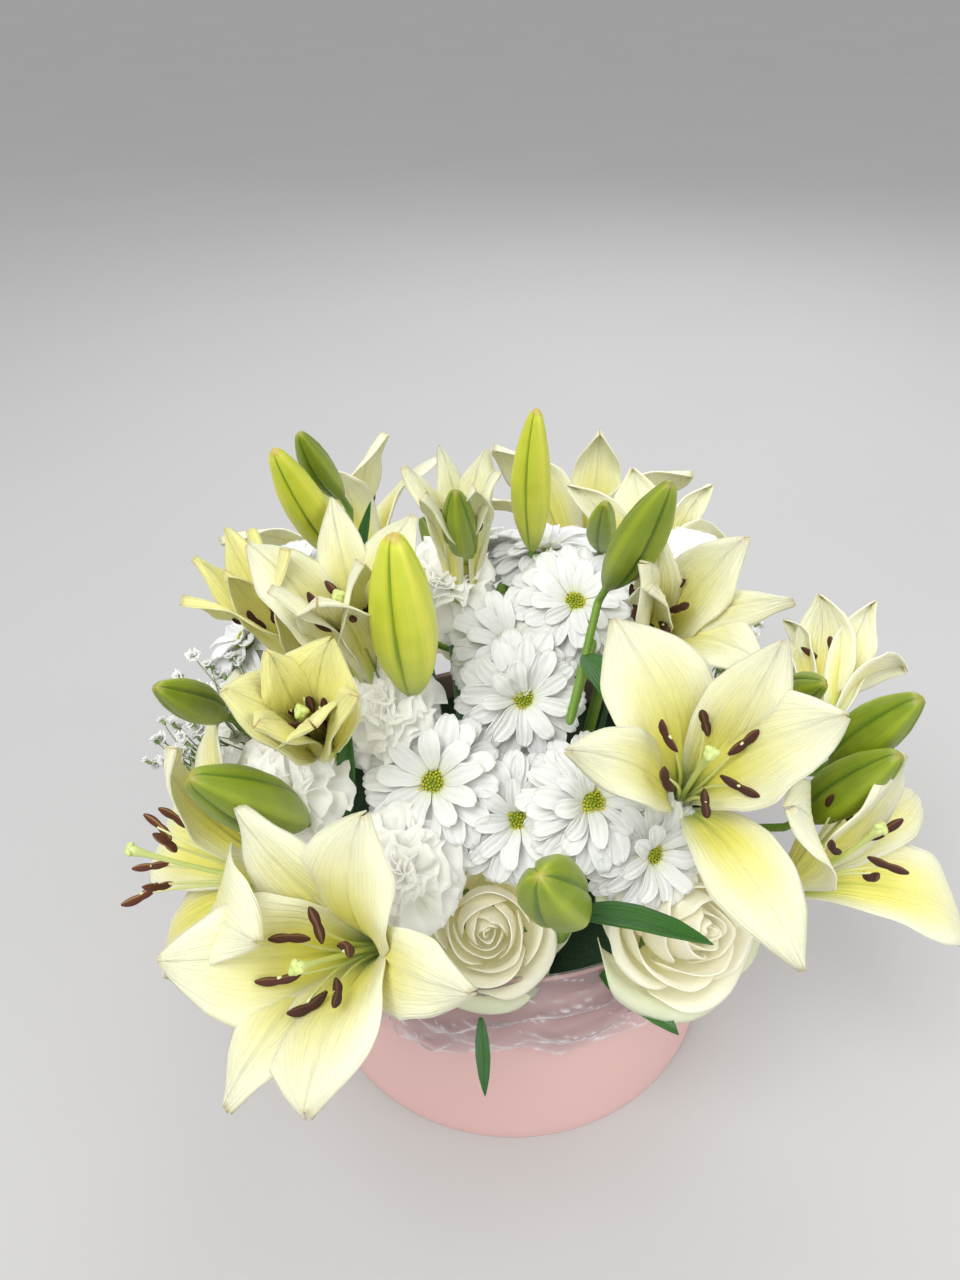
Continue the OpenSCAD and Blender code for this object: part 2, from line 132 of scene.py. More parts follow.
class Paint:
    """Builds the nodes of one material."""

    def __init__(self, name: str) -> None:
        """Starts an empty material.

        Args:
            name: The material's name.
        """
        self.material = bpy.data.materials.new(name)
        self.material.use_nodes = True
        self.nodes = self.material.node_tree.nodes
        self.links = self.material.node_tree.links
        self.nodes.clear()

    def node(self, kind: str, settings: dict | None = None, inputs: dict | None = None,
             output: int | str = 0) -> Value:
        """Adds one node.

        Args:
            kind: The node's type.
            settings: Its properties, set first.
            inputs: Values or links by socket name or number.
            output: The output that is returned.

        Returns:
            The chosen output.
        """
        made = self.nodes.new(kind)
        for key, value in (settings or {}).items():
            setattr(made, key, value)
        for key, value in (inputs or {}).items():
            self._feed(made.inputs[key], value)
        return Value(self, made.outputs[output])

    def _feed(self, socket: bpy.types.NodeSocket, value: object) -> None:
        """Links a value to a socket, or sets a plain number or colour.

        Args:
            socket: The socket.
            value: A value to link, a number, a colour or a vector.
        """
        if isinstance(value, Value):
            self.links.new(value.socket, socket)
        elif isinstance(value, tuple) and socket.type == "RGBA":
            socket.default_value = (*value[:3], 1.0)
        else:
            socket.default_value = value

    def mix(self, first: Value | Colour, second: Value | Colour, share: Value | float) -> Value:
        """A colour between two, by share."""
        return self.node("ShaderNodeMix", {"data_type": "RGBA", "clamp_factor": True},
                         {0: share, 6: first, 7: second}, 2)

    def place(self) -> tuple[Value, Value]:
        """How far across and along the shape the surface is, each from 0 to 1."""
        uv = self.node("ShaderNodeUVMap", {"uv_map": "UVMap"})
        return (self.node("ShaderNodeSeparateXYZ", None, {0: uv}, 0),
                self.node("ShaderNodeSeparateXYZ", None, {0: uv}, 1))

    def here(self) -> Value:
        """The Object coordinates."""
        return self.node("ShaderNodeTexCoord", None, None, "Object")

    def attribute(self, name: str) -> Value:
        """A number kept on the mesh."""
        return self.node("ShaderNodeAttribute", {"attribute_name": name}, None, "Fac")

    def vector(self, x: Value | float, y: Value | float, z: Value | float = 0.0) -> Value:
        """Three values as a vector."""
        return self.node("ShaderNodeCombineXYZ", None, {0: x, 1: y, 2: z})

    def noise(self, scale: float, detail: float = 3.0, at: Value | None = None) -> Value:
        """Cloudy noise, in Object coordinates unless told where.

        Args:
            scale: How fine it is.
            detail: How many finer layers it has.
            at: The coordinates.

        Returns:
            The noise from 0 to 1.
        """
        return self.node("ShaderNodeTexNoise", None, {
            "Vector": at or self.here(), "Scale": scale, "Detail": detail}, "Fac")

    def bump(self, height: Value, distance: float, strength: float = 1.0) -> Value:
        """A surface's normal from a height."""
        return self.node("ShaderNodeBump", None,
                         {"Height": height, "Distance": distance, "Strength": strength}, "Normal")

    def surface(self, **inputs: object) -> Value:
        """A Principled shader; an underscore in a name stands for a space."""
        return self.node("ShaderNodeBsdfPrincipled", None,
                         {key.replace("_", " "): value for key, value in inputs.items()}, "BSDF")

    def show(self, shader: Value) -> bpy.types.Material:
        """Puts the shader on the output and returns the material."""
        output = self.nodes.new("ShaderNodeOutputMaterial")
        self.links.new(shader.socket, output.inputs["Surface"])
        return self.material


# ---------------------------------------------------------------- finishes


@dataclass(frozen=True)
class TepalFinish:
    """A lily tepal: cream margins, a yellow middle, a green throat and a browned tip."""

    name: str = "lily_tepal"
    margin: Colour = (0.85, 0.84, 0.58)
    middle: Colour = (0.86, 0.80, 0.17)
    ripe: Colour = (0.86, 0.80, 0.17)
    throat: Colour = (0.32, 0.50, 0.03)
    tip: Colour = (0.56, 0.38, 0.14)

    def make(self) -> bpy.types.Material:
        """Builds the material."""
        p = Paint(self.name)
        across, along = p.place()
        tone = p.attribute("tone")
        off = (across - 0.5).size() * 2
        streaks = p.noise(1.0, 3.0, p.vector(across * 34, along * 1.6, tone * 9))
        cloud = p.noise(60.0, 2.0)
        flush = (1 - off.step(0.25, 1.05)) * (1 - along.step(0.30, 0.95))
        flush = (flush * 1.05 + (cloud - 0.5) * 0.2 + (streaks - 0.5) * 0.25).clamped()
        colour = p.mix(self.margin, self.middle, flush)
        ripe = (tone.step(0.55, 0.85) * (0.55 + streaks * 0.6)).clamped()
        colour = p.mix(colour, self.ripe, ripe * 0.75)
        throat = (1 - along.step(0.04, 0.30)) * (1 - off.step(0.35, 1.0)) + (
            1 - off.step(0.02, 0.10)) * (1 - along.step(0.12, 0.50)) * 0.5
        colour = p.mix(colour, self.throat, (throat * (0.6 + streaks * 0.8)).clamped() * 0.9)
        colour = p.mix(colour, (0.93, 0.91, 0.74), off.step(0.92, 1.0) * 0.3)
        browned = along.step(0.975, 1.0) * 0.4 + off.step(0.94, 1.0) * cloud.step(
            0.66, 0.78) * along.step(0.6, 0.9) * 0.2
        colour = p.mix(colour, self.tip, browned.clamped())
        veins = streaks.step(0.35, 0.65) * 0.6 + p.noise(700.0, 1.0) * 0.25
        rib = 1 - off.step(0.0, 0.06)
        return p.show(p.surface(
            Base_Color=colour, Roughness=0.42 + streaks * 0.16,
            Normal=p.bump(veins - rib * 0.8, 0.0007, 0.7),
            Subsurface_Weight=0.22, Subsurface_Scale=0.004,
            Subsurface_Radius=(1.0, 0.85, 0.35), Sheen_Weight=0.12, Specular_IOR_Level=0.35))


@dataclass(frozen=True)
class AntherFinish:
    """A pollen sac: dark brown-red with a paler split along it."""

    name: str = "lily_anther"
    dark: Colour = (0.032, 0.008, 0.006)
    rust: Colour = (0.16, 0.045, 0.015)
    split: Colour = (0.42, 0.24, 0.10)

    def make(self) -> bpy.types.Material:
        """Builds the material."""
        p = Paint(self.name)
        across, along = p.place()
        tone = p.attribute("tone")
        grain = p.noise(1800.0, 3.0)
        colour = p.mix(self.dark, self.rust, (tone * 0.75 + (grain - 0.5) * 0.5).clamped())
        seam = 1 - ((across * 2 - 1).size() - 0.5).size().step(0.02, 0.14)
        colour = p.mix(colour, self.split, seam * tone * 0.9)
        return p.show(p.surface(Base_Color=colour, Roughness=0.72 + grain * 0.2,
                                Normal=p.bump(grain - seam * 0.5, 0.0004, 0.7)))


@dataclass(frozen=True)
class ThreadFinish:
    """Filaments, styles and gypsophila threads: smooth, pale and slightly waxy."""

    name: str
    foot: Colour
    end: Colour
    roughness: float = 0.38

    def make(self) -> bpy.types.Material:
        """Builds the material."""
        p = Paint(self.name)
        _, along = p.place()
        cloud = p.noise(180.0, 3.0)
        colour = p.mix(self.foot, self.end, (along + (cloud - 0.5) * 0.4).clamped())
        return p.show(p.surface(Base_Color=colour, Roughness=self.roughness + cloud * 0.15,
                                Normal=p.bump(cloud, 0.0003, 0.4),
                                Subsurface_Weight=0.15, Subsurface_Scale=0.002))


@dataclass(frozen=True)
class BudFinish:
    """A lily bud: green when young and yellow before it opens, with furrows and a browned tip."""

    name: str = "lily_bud"
    young: Colour = (0.13, 0.21, 0.006)
    ridge: Colour = (0.38, 0.47, 0.03)
    ripe: Colour = (0.50, 0.60, 0.020)
    ripe_ridge: Colour = (0.84, 0.81, 0.12)
    furrow: Colour = (0.09, 0.20, 0.008)
    tip: Colour = (0.46, 0.28, 0.09)

    def make(self) -> bpy.types.Material:
        """Builds the material."""
        p = Paint(self.name)
        across, along = p.place()
        tone = p.attribute("tone")
        high = p.attribute("ridge")
        cloud = p.noise(70.0, 3.0)
        lines = p.noise(1.0, 2.0, p.vector(across * 60, along * 1.3, tone * 5))
        light = (high * 0.75 + (cloud - 0.5) * 0.6 + (lines - 0.5) * 0.5).clamped()
        green = p.mix(self.young, self.ridge, light)
        yellow = p.mix(self.ripe, self.ripe_ridge, light)
        colour = p.mix(green, yellow, tone)
        foot = 1 - along.step(0.0, 0.30)
        colour = p.mix(colour, self.young, foot * 0.55)
        colour = p.mix(colour, self.furrow, (1 - high.step(0.0, 0.22)) * 0.6)
        colour = p.mix(colour, self.tip, along.step(0.955, 0.995) * (0.35 + tone * 0.4))
        return p.show(p.surface(
            Base_Color=colour, Roughness=0.36 + lines * 0.14,
            Normal=p.bump(lines * 0.7 + p.noise(900.0, 1.0) * 0.3, 0.0004, 0.5),
            Subsurface_Weight=0.12, Subsurface_Scale=0.003, Coat_Weight=0.08,
            Coat_Roughness=0.35))


@dataclass(frozen=True)
class LeafFinish:
    """A lily leaf: glossy deep green with parallel veins."""

    name: str = "lily_leaf"
    dark: Colour = (0.018, 0.10, 0.014)
    light: Colour = (0.06, 0.21, 0.03)

    def make(self) -> bpy.types.Material:
        """Builds the material."""
        p = Paint(self.name)
        across, along = p.place()
        lines = (across * 62).wave() * 0.5 + 0.5
        cloud = p.noise(90.0, 3.0)
        rib = 1 - (across - 0.5).size().step(0.0, 0.05)
        colour = p.mix(self.dark, self.light, (lines * 0.35 + cloud * 0.4 + rib * 0.4).clamped())
        return p.show(p.surface(Base_Color=colour, Roughness=0.24 + cloud * 0.16,
                                Normal=p.bump(lines * 0.6 - rib, 0.0004, 0.6),
                                Specular_IOR_Level=0.6))


@dataclass(frozen=True)
class StemFinish:
    """A green stem with fine lengthwise grain and small pale marks."""

    name: str
    dark: Colour
    light: Colour

    def make(self) -> bpy.types.Material:
        """Builds the material."""
        p = Paint(self.name)
        long = p.node("ShaderNodeMapping", None, {"Vector": p.here(), "Scale": (1.0, 1.0, 0.12)})
        grain = p.noise(900.0, 3.0, long)
        cloud = p.noise(40.0, 2.0)
        colour = p.mix(self.dark, self.light, (cloud * 0.8 + grain * 0.5 - 0.25).clamped())
        return p.show(p.surface(Base_Color=colour, Roughness=0.40 + grain * 0.2,
                                Normal=p.bump(grain, 0.0003, 0.5)))


@dataclass(frozen=True)
class PetalFinish:
    """A white or cream petal with fine grooves and a tinted foot.

    Its glow is painted light: an even emission in the petal's own colour that lifts its shade,
    standing in for light that passes through a thin petal and light bounced between petals.
    """

    name: str
    body: Colour
    foot: Colour
    edge: Colour
    grooves: float = 26.0
    foot_reach: float = 0.45
    softness: float = 0.25
    painted_glow: float = 0.0

    def make(self) -> bpy.types.Material:
        """Builds the material."""
        p = Paint(self.name)
        across, along = p.place()
        tone = p.attribute("tone")
        lines = p.noise(1.0, 2.0, p.vector(across * self.grooves, along * 1.2, tone * 11))
        cloud = p.noise(90.0, 2.0)
        foot = 1 - along.step(0.0, self.foot_reach)
        colour = p.mix(self.body, self.foot, (foot + (cloud - 0.5) * 0.3).clamped())
        colour = p.mix(colour, self.edge, (tone.step(0.6, 1.0) * along.step(0.2, 0.9)).clamped())
        # The emission is painted light that lifts the petal's shade.
        return p.show(p.surface(
            Base_Color=colour, Roughness=0.52 + lines * 0.15,
            Normal=p.bump(lines, 0.0005, 0.6), Subsurface_Weight=self.softness,
            Subsurface_Scale=0.006, Subsurface_Radius=(1.0, 0.95, 0.75), Sheen_Weight=0.15,
            Emission_Color=colour, Emission_Strength=self.painted_glow, Specular_IOR_Level=0.3))


@dataclass(frozen=True)
class DiscFinish:
    """The grainy middle of a chrysanthemum, yellow outside and green within."""

    name: str = "daisy_disc"
    yellow: Colour = (0.74, 0.64, 0.02)
    green: Colour = (0.15, 0.27, 0.012)

    def make(self) -> bpy.types.Material:
        """Builds the material."""
        p = Paint(self.name)
        tone = p.attribute("tone")
        grain = p.noise(900.0, 3.0)
        colour = p.mix(self.green, self.yellow, (tone + (grain - 0.5) * 0.4).clamped())
        return p.show(p.surface(Base_Color=colour, Roughness=0.55 + grain * 0.2,
                                Normal=p.bump(grain, 0.0004, 0.6)))


@dataclass(frozen=True)
class BoardFinish:
    """Matt pink paper over board, with a faint fibre."""

    name: str = "pink_board"
    paper: Colour = (0.79, 0.50, 0.47)
    rubbed: Colour = (0.83, 0.56, 0.53)

    def make(self) -> bpy.types.Material:
        """Builds the material."""
        p = Paint(self.name)
        fibre = p.noise(1500.0, 4.0)
        cloud = p.noise(14.0, 3.0)
        colour = p.mix(self.paper, self.rubbed, (cloud * 0.6 + fibre * 0.3).clamped())
        return p.show(p.surface(Base_Color=colour, Roughness=0.58 + fibre * 0.18,
                                Normal=p.bump(fibre, 0.00012, 0.5), Specular_IOR_Level=0.35))


@dataclass(frozen=True)
class FilmFinish:
    """Clear crinkled film: see-through, with bright glints, and creases painted whiter: partly the
    whitening of creased film, partly painted glints.
    """

    name: str = "clear_film"
    tint: Colour = (0.93, 0.95, 0.97)

    def make(self) -> bpy.types.Material:
        """Builds the material."""
        p = Paint(self.name)
        crease = p.attribute("crease")
        wrinkle = p.noise(120.0, 3.0)
        facing = p.node("ShaderNodeFresnel", None, {"IOR": 1.5})
        shine = p.surface(Base_Color=self.tint, Roughness=0.10 + wrinkle * 0.08,
                          Normal=p.bump(wrinkle, 0.0005, 0.5), Specular_IOR_Level=0.9)
        clear = p.node("ShaderNodeBsdfTransparent", None, {"Color": (0.84, 0.82, 0.83)})
        # Along the creases the white, opaque shader takes a larger share: partly the whitening of
        # creased film, partly painted glints.
        share = (facing * 1.6 + crease * wrinkle.step(0.30, 0.75) * 0.65 + 0.05).clamped()
        return p.show(p.node("ShaderNodeMixShader", None, {0: share, 1: clear, 2: shine}))


@dataclass(frozen=True)
class FoamFinish:
    """Wet floral foam: dark green, with fine open pores."""

    name: str = "wet_foam"
    dark: Colour = (0.008, 0.022, 0.010)
    light: Colour = (0.03, 0.085, 0.035)

    def make(self) -> bpy.types.Material:
        """Builds the material."""
        p = Paint(self.name)
        pores = p.node("ShaderNodeTexVoronoi", None, {"Vector": p.here(), "Scale": 700.0},
                       "Distance")
        cloud = p.noise(50.0, 4.0)
        colour = p.mix(self.dark, self.light, (pores * 0.6 + cloud * 0.4).clamped())
        return p.show(p.surface(Base_Color=colour, Roughness=0.75 + cloud * 0.2,
                                Normal=p.bump(pores, 0.0006, 0.8)))


# ---------------------------------------------------------------- shape helpers


def unit(v: np.ndarray) -> np.ndarray:
    """The vector at length one."""
    return v / max(float(np.linalg.norm(v)), 1e-12)


def soft(x: np.ndarray | float, low: float, high: float) -> np.ndarray:
    """A soft step from 0 at low to 1 at high."""
    k = np.clip((np.asarray(x, float) - low) / (high - low), 0, 1)
    return k * k * (3 - 2 * k)


def axes_about(axis: np.ndarray) -> np.ndarray:
    """Three unit columns, the last along axis.

    Args:
        axis: Any vector but nought.

    Returns:
        The columns as a matrix.
    """
    axis = unit(axis)
    guide = np.array([0.0, 0.0, 1.0]) if abs(axis[2]) < 0.95 else np.array([0.0, 1.0, 0.0])
    x = unit(np.cross(guide, axis))
    return np.column_stack([x, np.cross(axis, x), axis])


def bezier(points: np.ndarray, t: np.ndarray) -> np.ndarray:
    """Points of a cubic curve at t.

    Args:
        points: Its four control points.
        t: Where, from 0 to 1.

    Returns:
        One row for each t.
    """
    t = t[:, None]
    return ((1 - t) ** 3 * points[0] + 3 * (1 - t) ** 2 * t * points[1]
            + 3 * (1 - t) * t ** 2 * points[2] + t ** 3 * points[3])


def triangle(x: np.ndarray) -> np.ndarray:
    """A triangle wave from -1 to 1 with period 1."""
    return 4 * np.abs(x - np.floor(x + 0.5)) - 1


def vertices_of(mesh: bpy.types.Mesh) -> np.ndarray:
    """A mesh's points as rows.

    Args:
        mesh: The mesh.

    Returns:
        The points, in its own coordinates.
    """
    flat = np.empty(len(mesh.vertices) * 3)
    mesh.vertices.foreach_get("co", flat)
    return flat.reshape(-1, 3)


def loose_parts(node: str) -> list[np.ndarray]:
    """The points of each separate solid of a CAD node.

    Args:
        node: The node's name.

    Returns:
        One array of points for each solid.
    """
    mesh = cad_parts[node].data
    mesh.calc_loop_triangles()
    corners = np.empty(len(mesh.loop_triangles) * 3, int)
    mesh.loop_triangles.foreach_get("vertices", corners)
    keys, same = np.unique(np.round(vertices_of(mesh) * 1e6).astype(np.int64), axis=0,
                           return_inverse=True)
    faces = same.reshape(-1)[corners].reshape(-1, 3)
    label = np.arange(len(keys))
    while True:
        lowest = label.copy()
        np.minimum.at(lowest, faces.ravel(), np.repeat(label[faces].min(axis=1), 3))
        lowest = lowest[lowest]
        if (lowest == label).all():
            break
        label = lowest
    return [keys[label == one] / 1e6 for one in np.unique(label)]


def long_axis(points: np.ndarray) -> tuple[np.ndarray, np.ndarray]:
    """The middle of some points and the direction they stretch in most.

    Args:
        points: The points.

    Returns:
        The middle and the unit direction.
    """
    middle = (points.max(axis=0) + points.min(axis=0)) / 2
    centred = points - points.mean(axis=0)
    return middle, np.linalg.svd(centred, full_matrices=False)[2][0]


def end_radius(points: np.ndarray, origin: np.ndarray, axis: np.ndarray,
               far: bool) -> tuple[float, float, int]:
    """How wide a turned solid is at one end.

    Args:
        points: The solid's points.
        origin: A point on its axis.
        axis: Its axis.
        far: True for the end that axis points to.

    Returns:
        Where the end is along the axis, its radius and how many points lie on it.
    """
    along = (points - origin) @ axis
    place = along.max() if far else along.min()
    at_end = points[np.abs(along - place) < 0.05 * MM]
    off = at_end - origin - np.outer((at_end - origin) @ axis, axis)
    return float(place), float(np.linalg.norm(off, axis=1).max()), len(at_end)


def upright(points: np.ndarray, middle: np.ndarray, axis: np.ndarray, mark: int,
            more_at_foot: bool) -> tuple[np.ndarray, float, float]:
    """Points a turned solid's axis from its foot to its head.

    Args:
        points: The solid's points.
        middle: A point on its axis.
        axis: Its axis, either way round.
        mark: What tells the ends apart: 1 for their radii, 2 for how many points they have.
        more_at_foot: True if the foot is the end with more of it.

    Returns:
        The axis and where the foot and the head are along it.
    """
    low, high = (end_radius(points, middle, axis, far) for far in (False, True))
    turned = low[mark] < high[mark] if more_at_foot else low[mark] > high[mark]
    return (-axis, -high[0], -low[0]) if turned else (axis, low[0], high[0])


def added(name: str, data: bpy.types.ID) -> bpy.types.Object:
    """A new object with its data, linked to the scene.

    Args:
        name: Its name.
        data: Its mesh, light or camera.

    Returns:
        The object.
    """
    made = bpy.data.objects.new(name, data)
    bpy.context.scene.collection.objects.link(made)
    return made


def evaluated(piece: bpy.types.Object) -> bpy.types.Mesh:
    """A piece's mesh with its modifiers applied and its marks kept."""
    graph = bpy.context.evaluated_depsgraph_get()
    return bpy.data.meshes.new_from_object(piece.evaluated_get(graph),
                                           preserve_all_data_layers=True, depsgraph=graph)


def thicken(piece: bpy.types.Object, thickness: float) -> bpy.types.Object:
    """Gives a sheet its thickness by a modifier and returns it.

    Args:
        piece: The sheet.
        thickness: Its thickness in metres.

    Returns:
        The same object.
    """
    wall = piece.modifiers.new("thickness", "SOLIDIFY")
    wall.thickness = thickness
    wall.offset = 0.0
    return piece


def thicken_applied(piece: bpy.types.Object, thickness: float) -> bpy.types.Object:
    """Gives a sheet its thickness in its mesh and returns it.

    Args:
        piece: The sheet.
        thickness: Its thickness in metres.

    Returns:
        The same object.
    """
    result = evaluated(thicken(piece, thickness))
    piece.modifiers.clear()
    piece.data = result
    return piece


class Growth:
    """Collects curved sheets and tubes, with their marks, into one mesh."""

    def __init__(self) -> None:
        """Starts empty."""
        self.points: list[np.ndarray] = []
        self.faces: list[np.ndarray] = []
        self.places: list[np.ndarray] = []
        self.marks: dict[str, list[np.ndarray]] = {"tone": [], "ridge": [], "crease": []}
        self.slots: list[int] = []
        self.count = 0

    def sheet(self, grid: np.ndarray, tone: float | np.ndarray = 0.5, slot: int = 0,
              closed: bool = False, ridge: float | np.ndarray = 0.0,
              crease: float | np.ndarray = 0.0) -> None:
        """Adds a grid of points.

        Args:
            grid: Points by row and column.
            tone: How ripe or deep the colour is, from 0 to 1.
            slot: The material's number.
            closed: True joins the last column to the first.
            ridge: How far a point stands on a ridge.
            crease: How sharply a point is creased.
        """
        rows, columns = grid.shape[:2]
        index = self.count + np.arange(rows * columns).reshape(rows, columns)
        if closed:
            index = np.hstack([index, index[:, :1]])
        self.faces.append(np.stack([index[:-1, :-1], index[:-1, 1:], index[1:, 1:],
                                    index[1:, :-1]], -1).reshape(-1, 4))
        across = np.linspace(0, 1, index.shape[1])
        along = np.linspace(0, 1, rows)
        uv = np.stack(np.meshgrid(across, along), -1)
        self.places.append(np.stack([uv[:-1, :-1], uv[:-1, 1:], uv[1:, 1:], uv[1:, :-1]],
                                    2).reshape(-1, 2))
        self.points.append(grid.reshape(-1, 3))
        for key, value in (("tone", tone), ("ridge", ridge), ("crease", crease)):
            self.marks[key].append(np.broadcast_to(np.asarray(value, float),
                                                   (rows, columns)).reshape(-1))
        self.slots += [slot] * len(self.faces[-1])
        self.count += rows * columns

    def tube(self, path: np.ndarray, radii: np.ndarray, sides: int = 8,
             tone: float | np.ndarray = 0.5, slot: int = 0) -> None:
        """Adds a round, closed tube along a path.

        Args:
            path: Its middle line.
            radii: Its radius at each point of the path.
            sides: How many sides it has.
            tone: Its colour mark.
            slot: The material's number.
        """
        path, radii = np.asarray(path, float), np.asarray(radii, float)
        tangents = np.gradient(path, axis=0)
        side = axes_about(tangents[0])[:, 0]
        turns = np.linspace(0, TURN, sides, endpoint=False)
        rings = [np.repeat(path[:1], sides, axis=0)]
        for point, tangent, radius in zip(path, tangents, radii):
            along = unit(tangent)
            side = unit(side - along * (side @ along))
            other = np.cross(along, side)
            rings.append(point + radius * (np.outer(np.cos(turns), side)
                                           + np.outer(np.sin(turns), other)))
        rings.append(np.repeat(path[-1:], sides, axis=0))
        self.sheet(np.array(rings), tone, slot, closed=True)

    def shape(self, name: str) -> bpy.types.Object:
        """Turns what was collected into a shape to sow, which gets its tone where it stands."""
        self.marks.pop("tone")
        return self.piece(name, [])

    def piece(self, name: str, materials: list[bpy.types.Material],
              thickness: float = 0.0) -> bpy.types.Object:
        """Turns what was collected into an object.

        Args:
            name: The object's name.
            materials: Its materials by slot.
            thickness: The thickness given to open sheets, in metres.

        Returns:
            The object, linked to the scene.
        """
        mesh = bpy.data.meshes.new(name)
        faces = np.concatenate(self.faces)
        mesh.from_pydata(np.concatenate(self.points).tolist(), [], faces.tolist())
        mesh.uv_layers.new(name="UVMap").data.foreach_set(
            "uv", np.concatenate(self.places).ravel())
        for key, values in self.marks.items():
            mesh.attributes.new(key, "FLOAT", "POINT").data.foreach_set(
                "value", np.concatenate(values))
        mesh.polygons.foreach_set("material_index", self.slots)
        work = bmesh.new()
        work.from_mesh(mesh)
        bmesh.ops.remove_doubles(work, verts=work.verts, dist=WELD)
        bmesh.ops.recalc_face_normals(work, faces=work.faces)
        work.to_mesh(mesh)
        work.free()
        for material in materials:
            mesh.materials.append(material)
        mesh.polygons.foreach_set("use_smooth", [True] * len(mesh.polygons))
        made = added(name, mesh)
        return thicken(made, thickness) if thickness else made


def settle(piece: bpy.types.Object, slot: str, *nodes: str) -> bpy.types.Object:
    """Rides a finished piece on the body and says what it stands for.

    Args:
        piece: The finished piece.
        slot: The record's material slot; not used.
        nodes: The CAD nodes that it replaces.

    Returns:
        The piece.
    """
    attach(piece, "root")
    if nodes:
        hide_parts(*nodes)
    LOG.info("%s: %d faces, for %s", piece.name, len(piece.data.polygons), ", ".join(nodes))
    return piece


@dataclass
class Place:
    """Where one repeated shape stands."""

    at: np.ndarray
    axes: np.ndarray
    size: float
    tone: float = 0.5


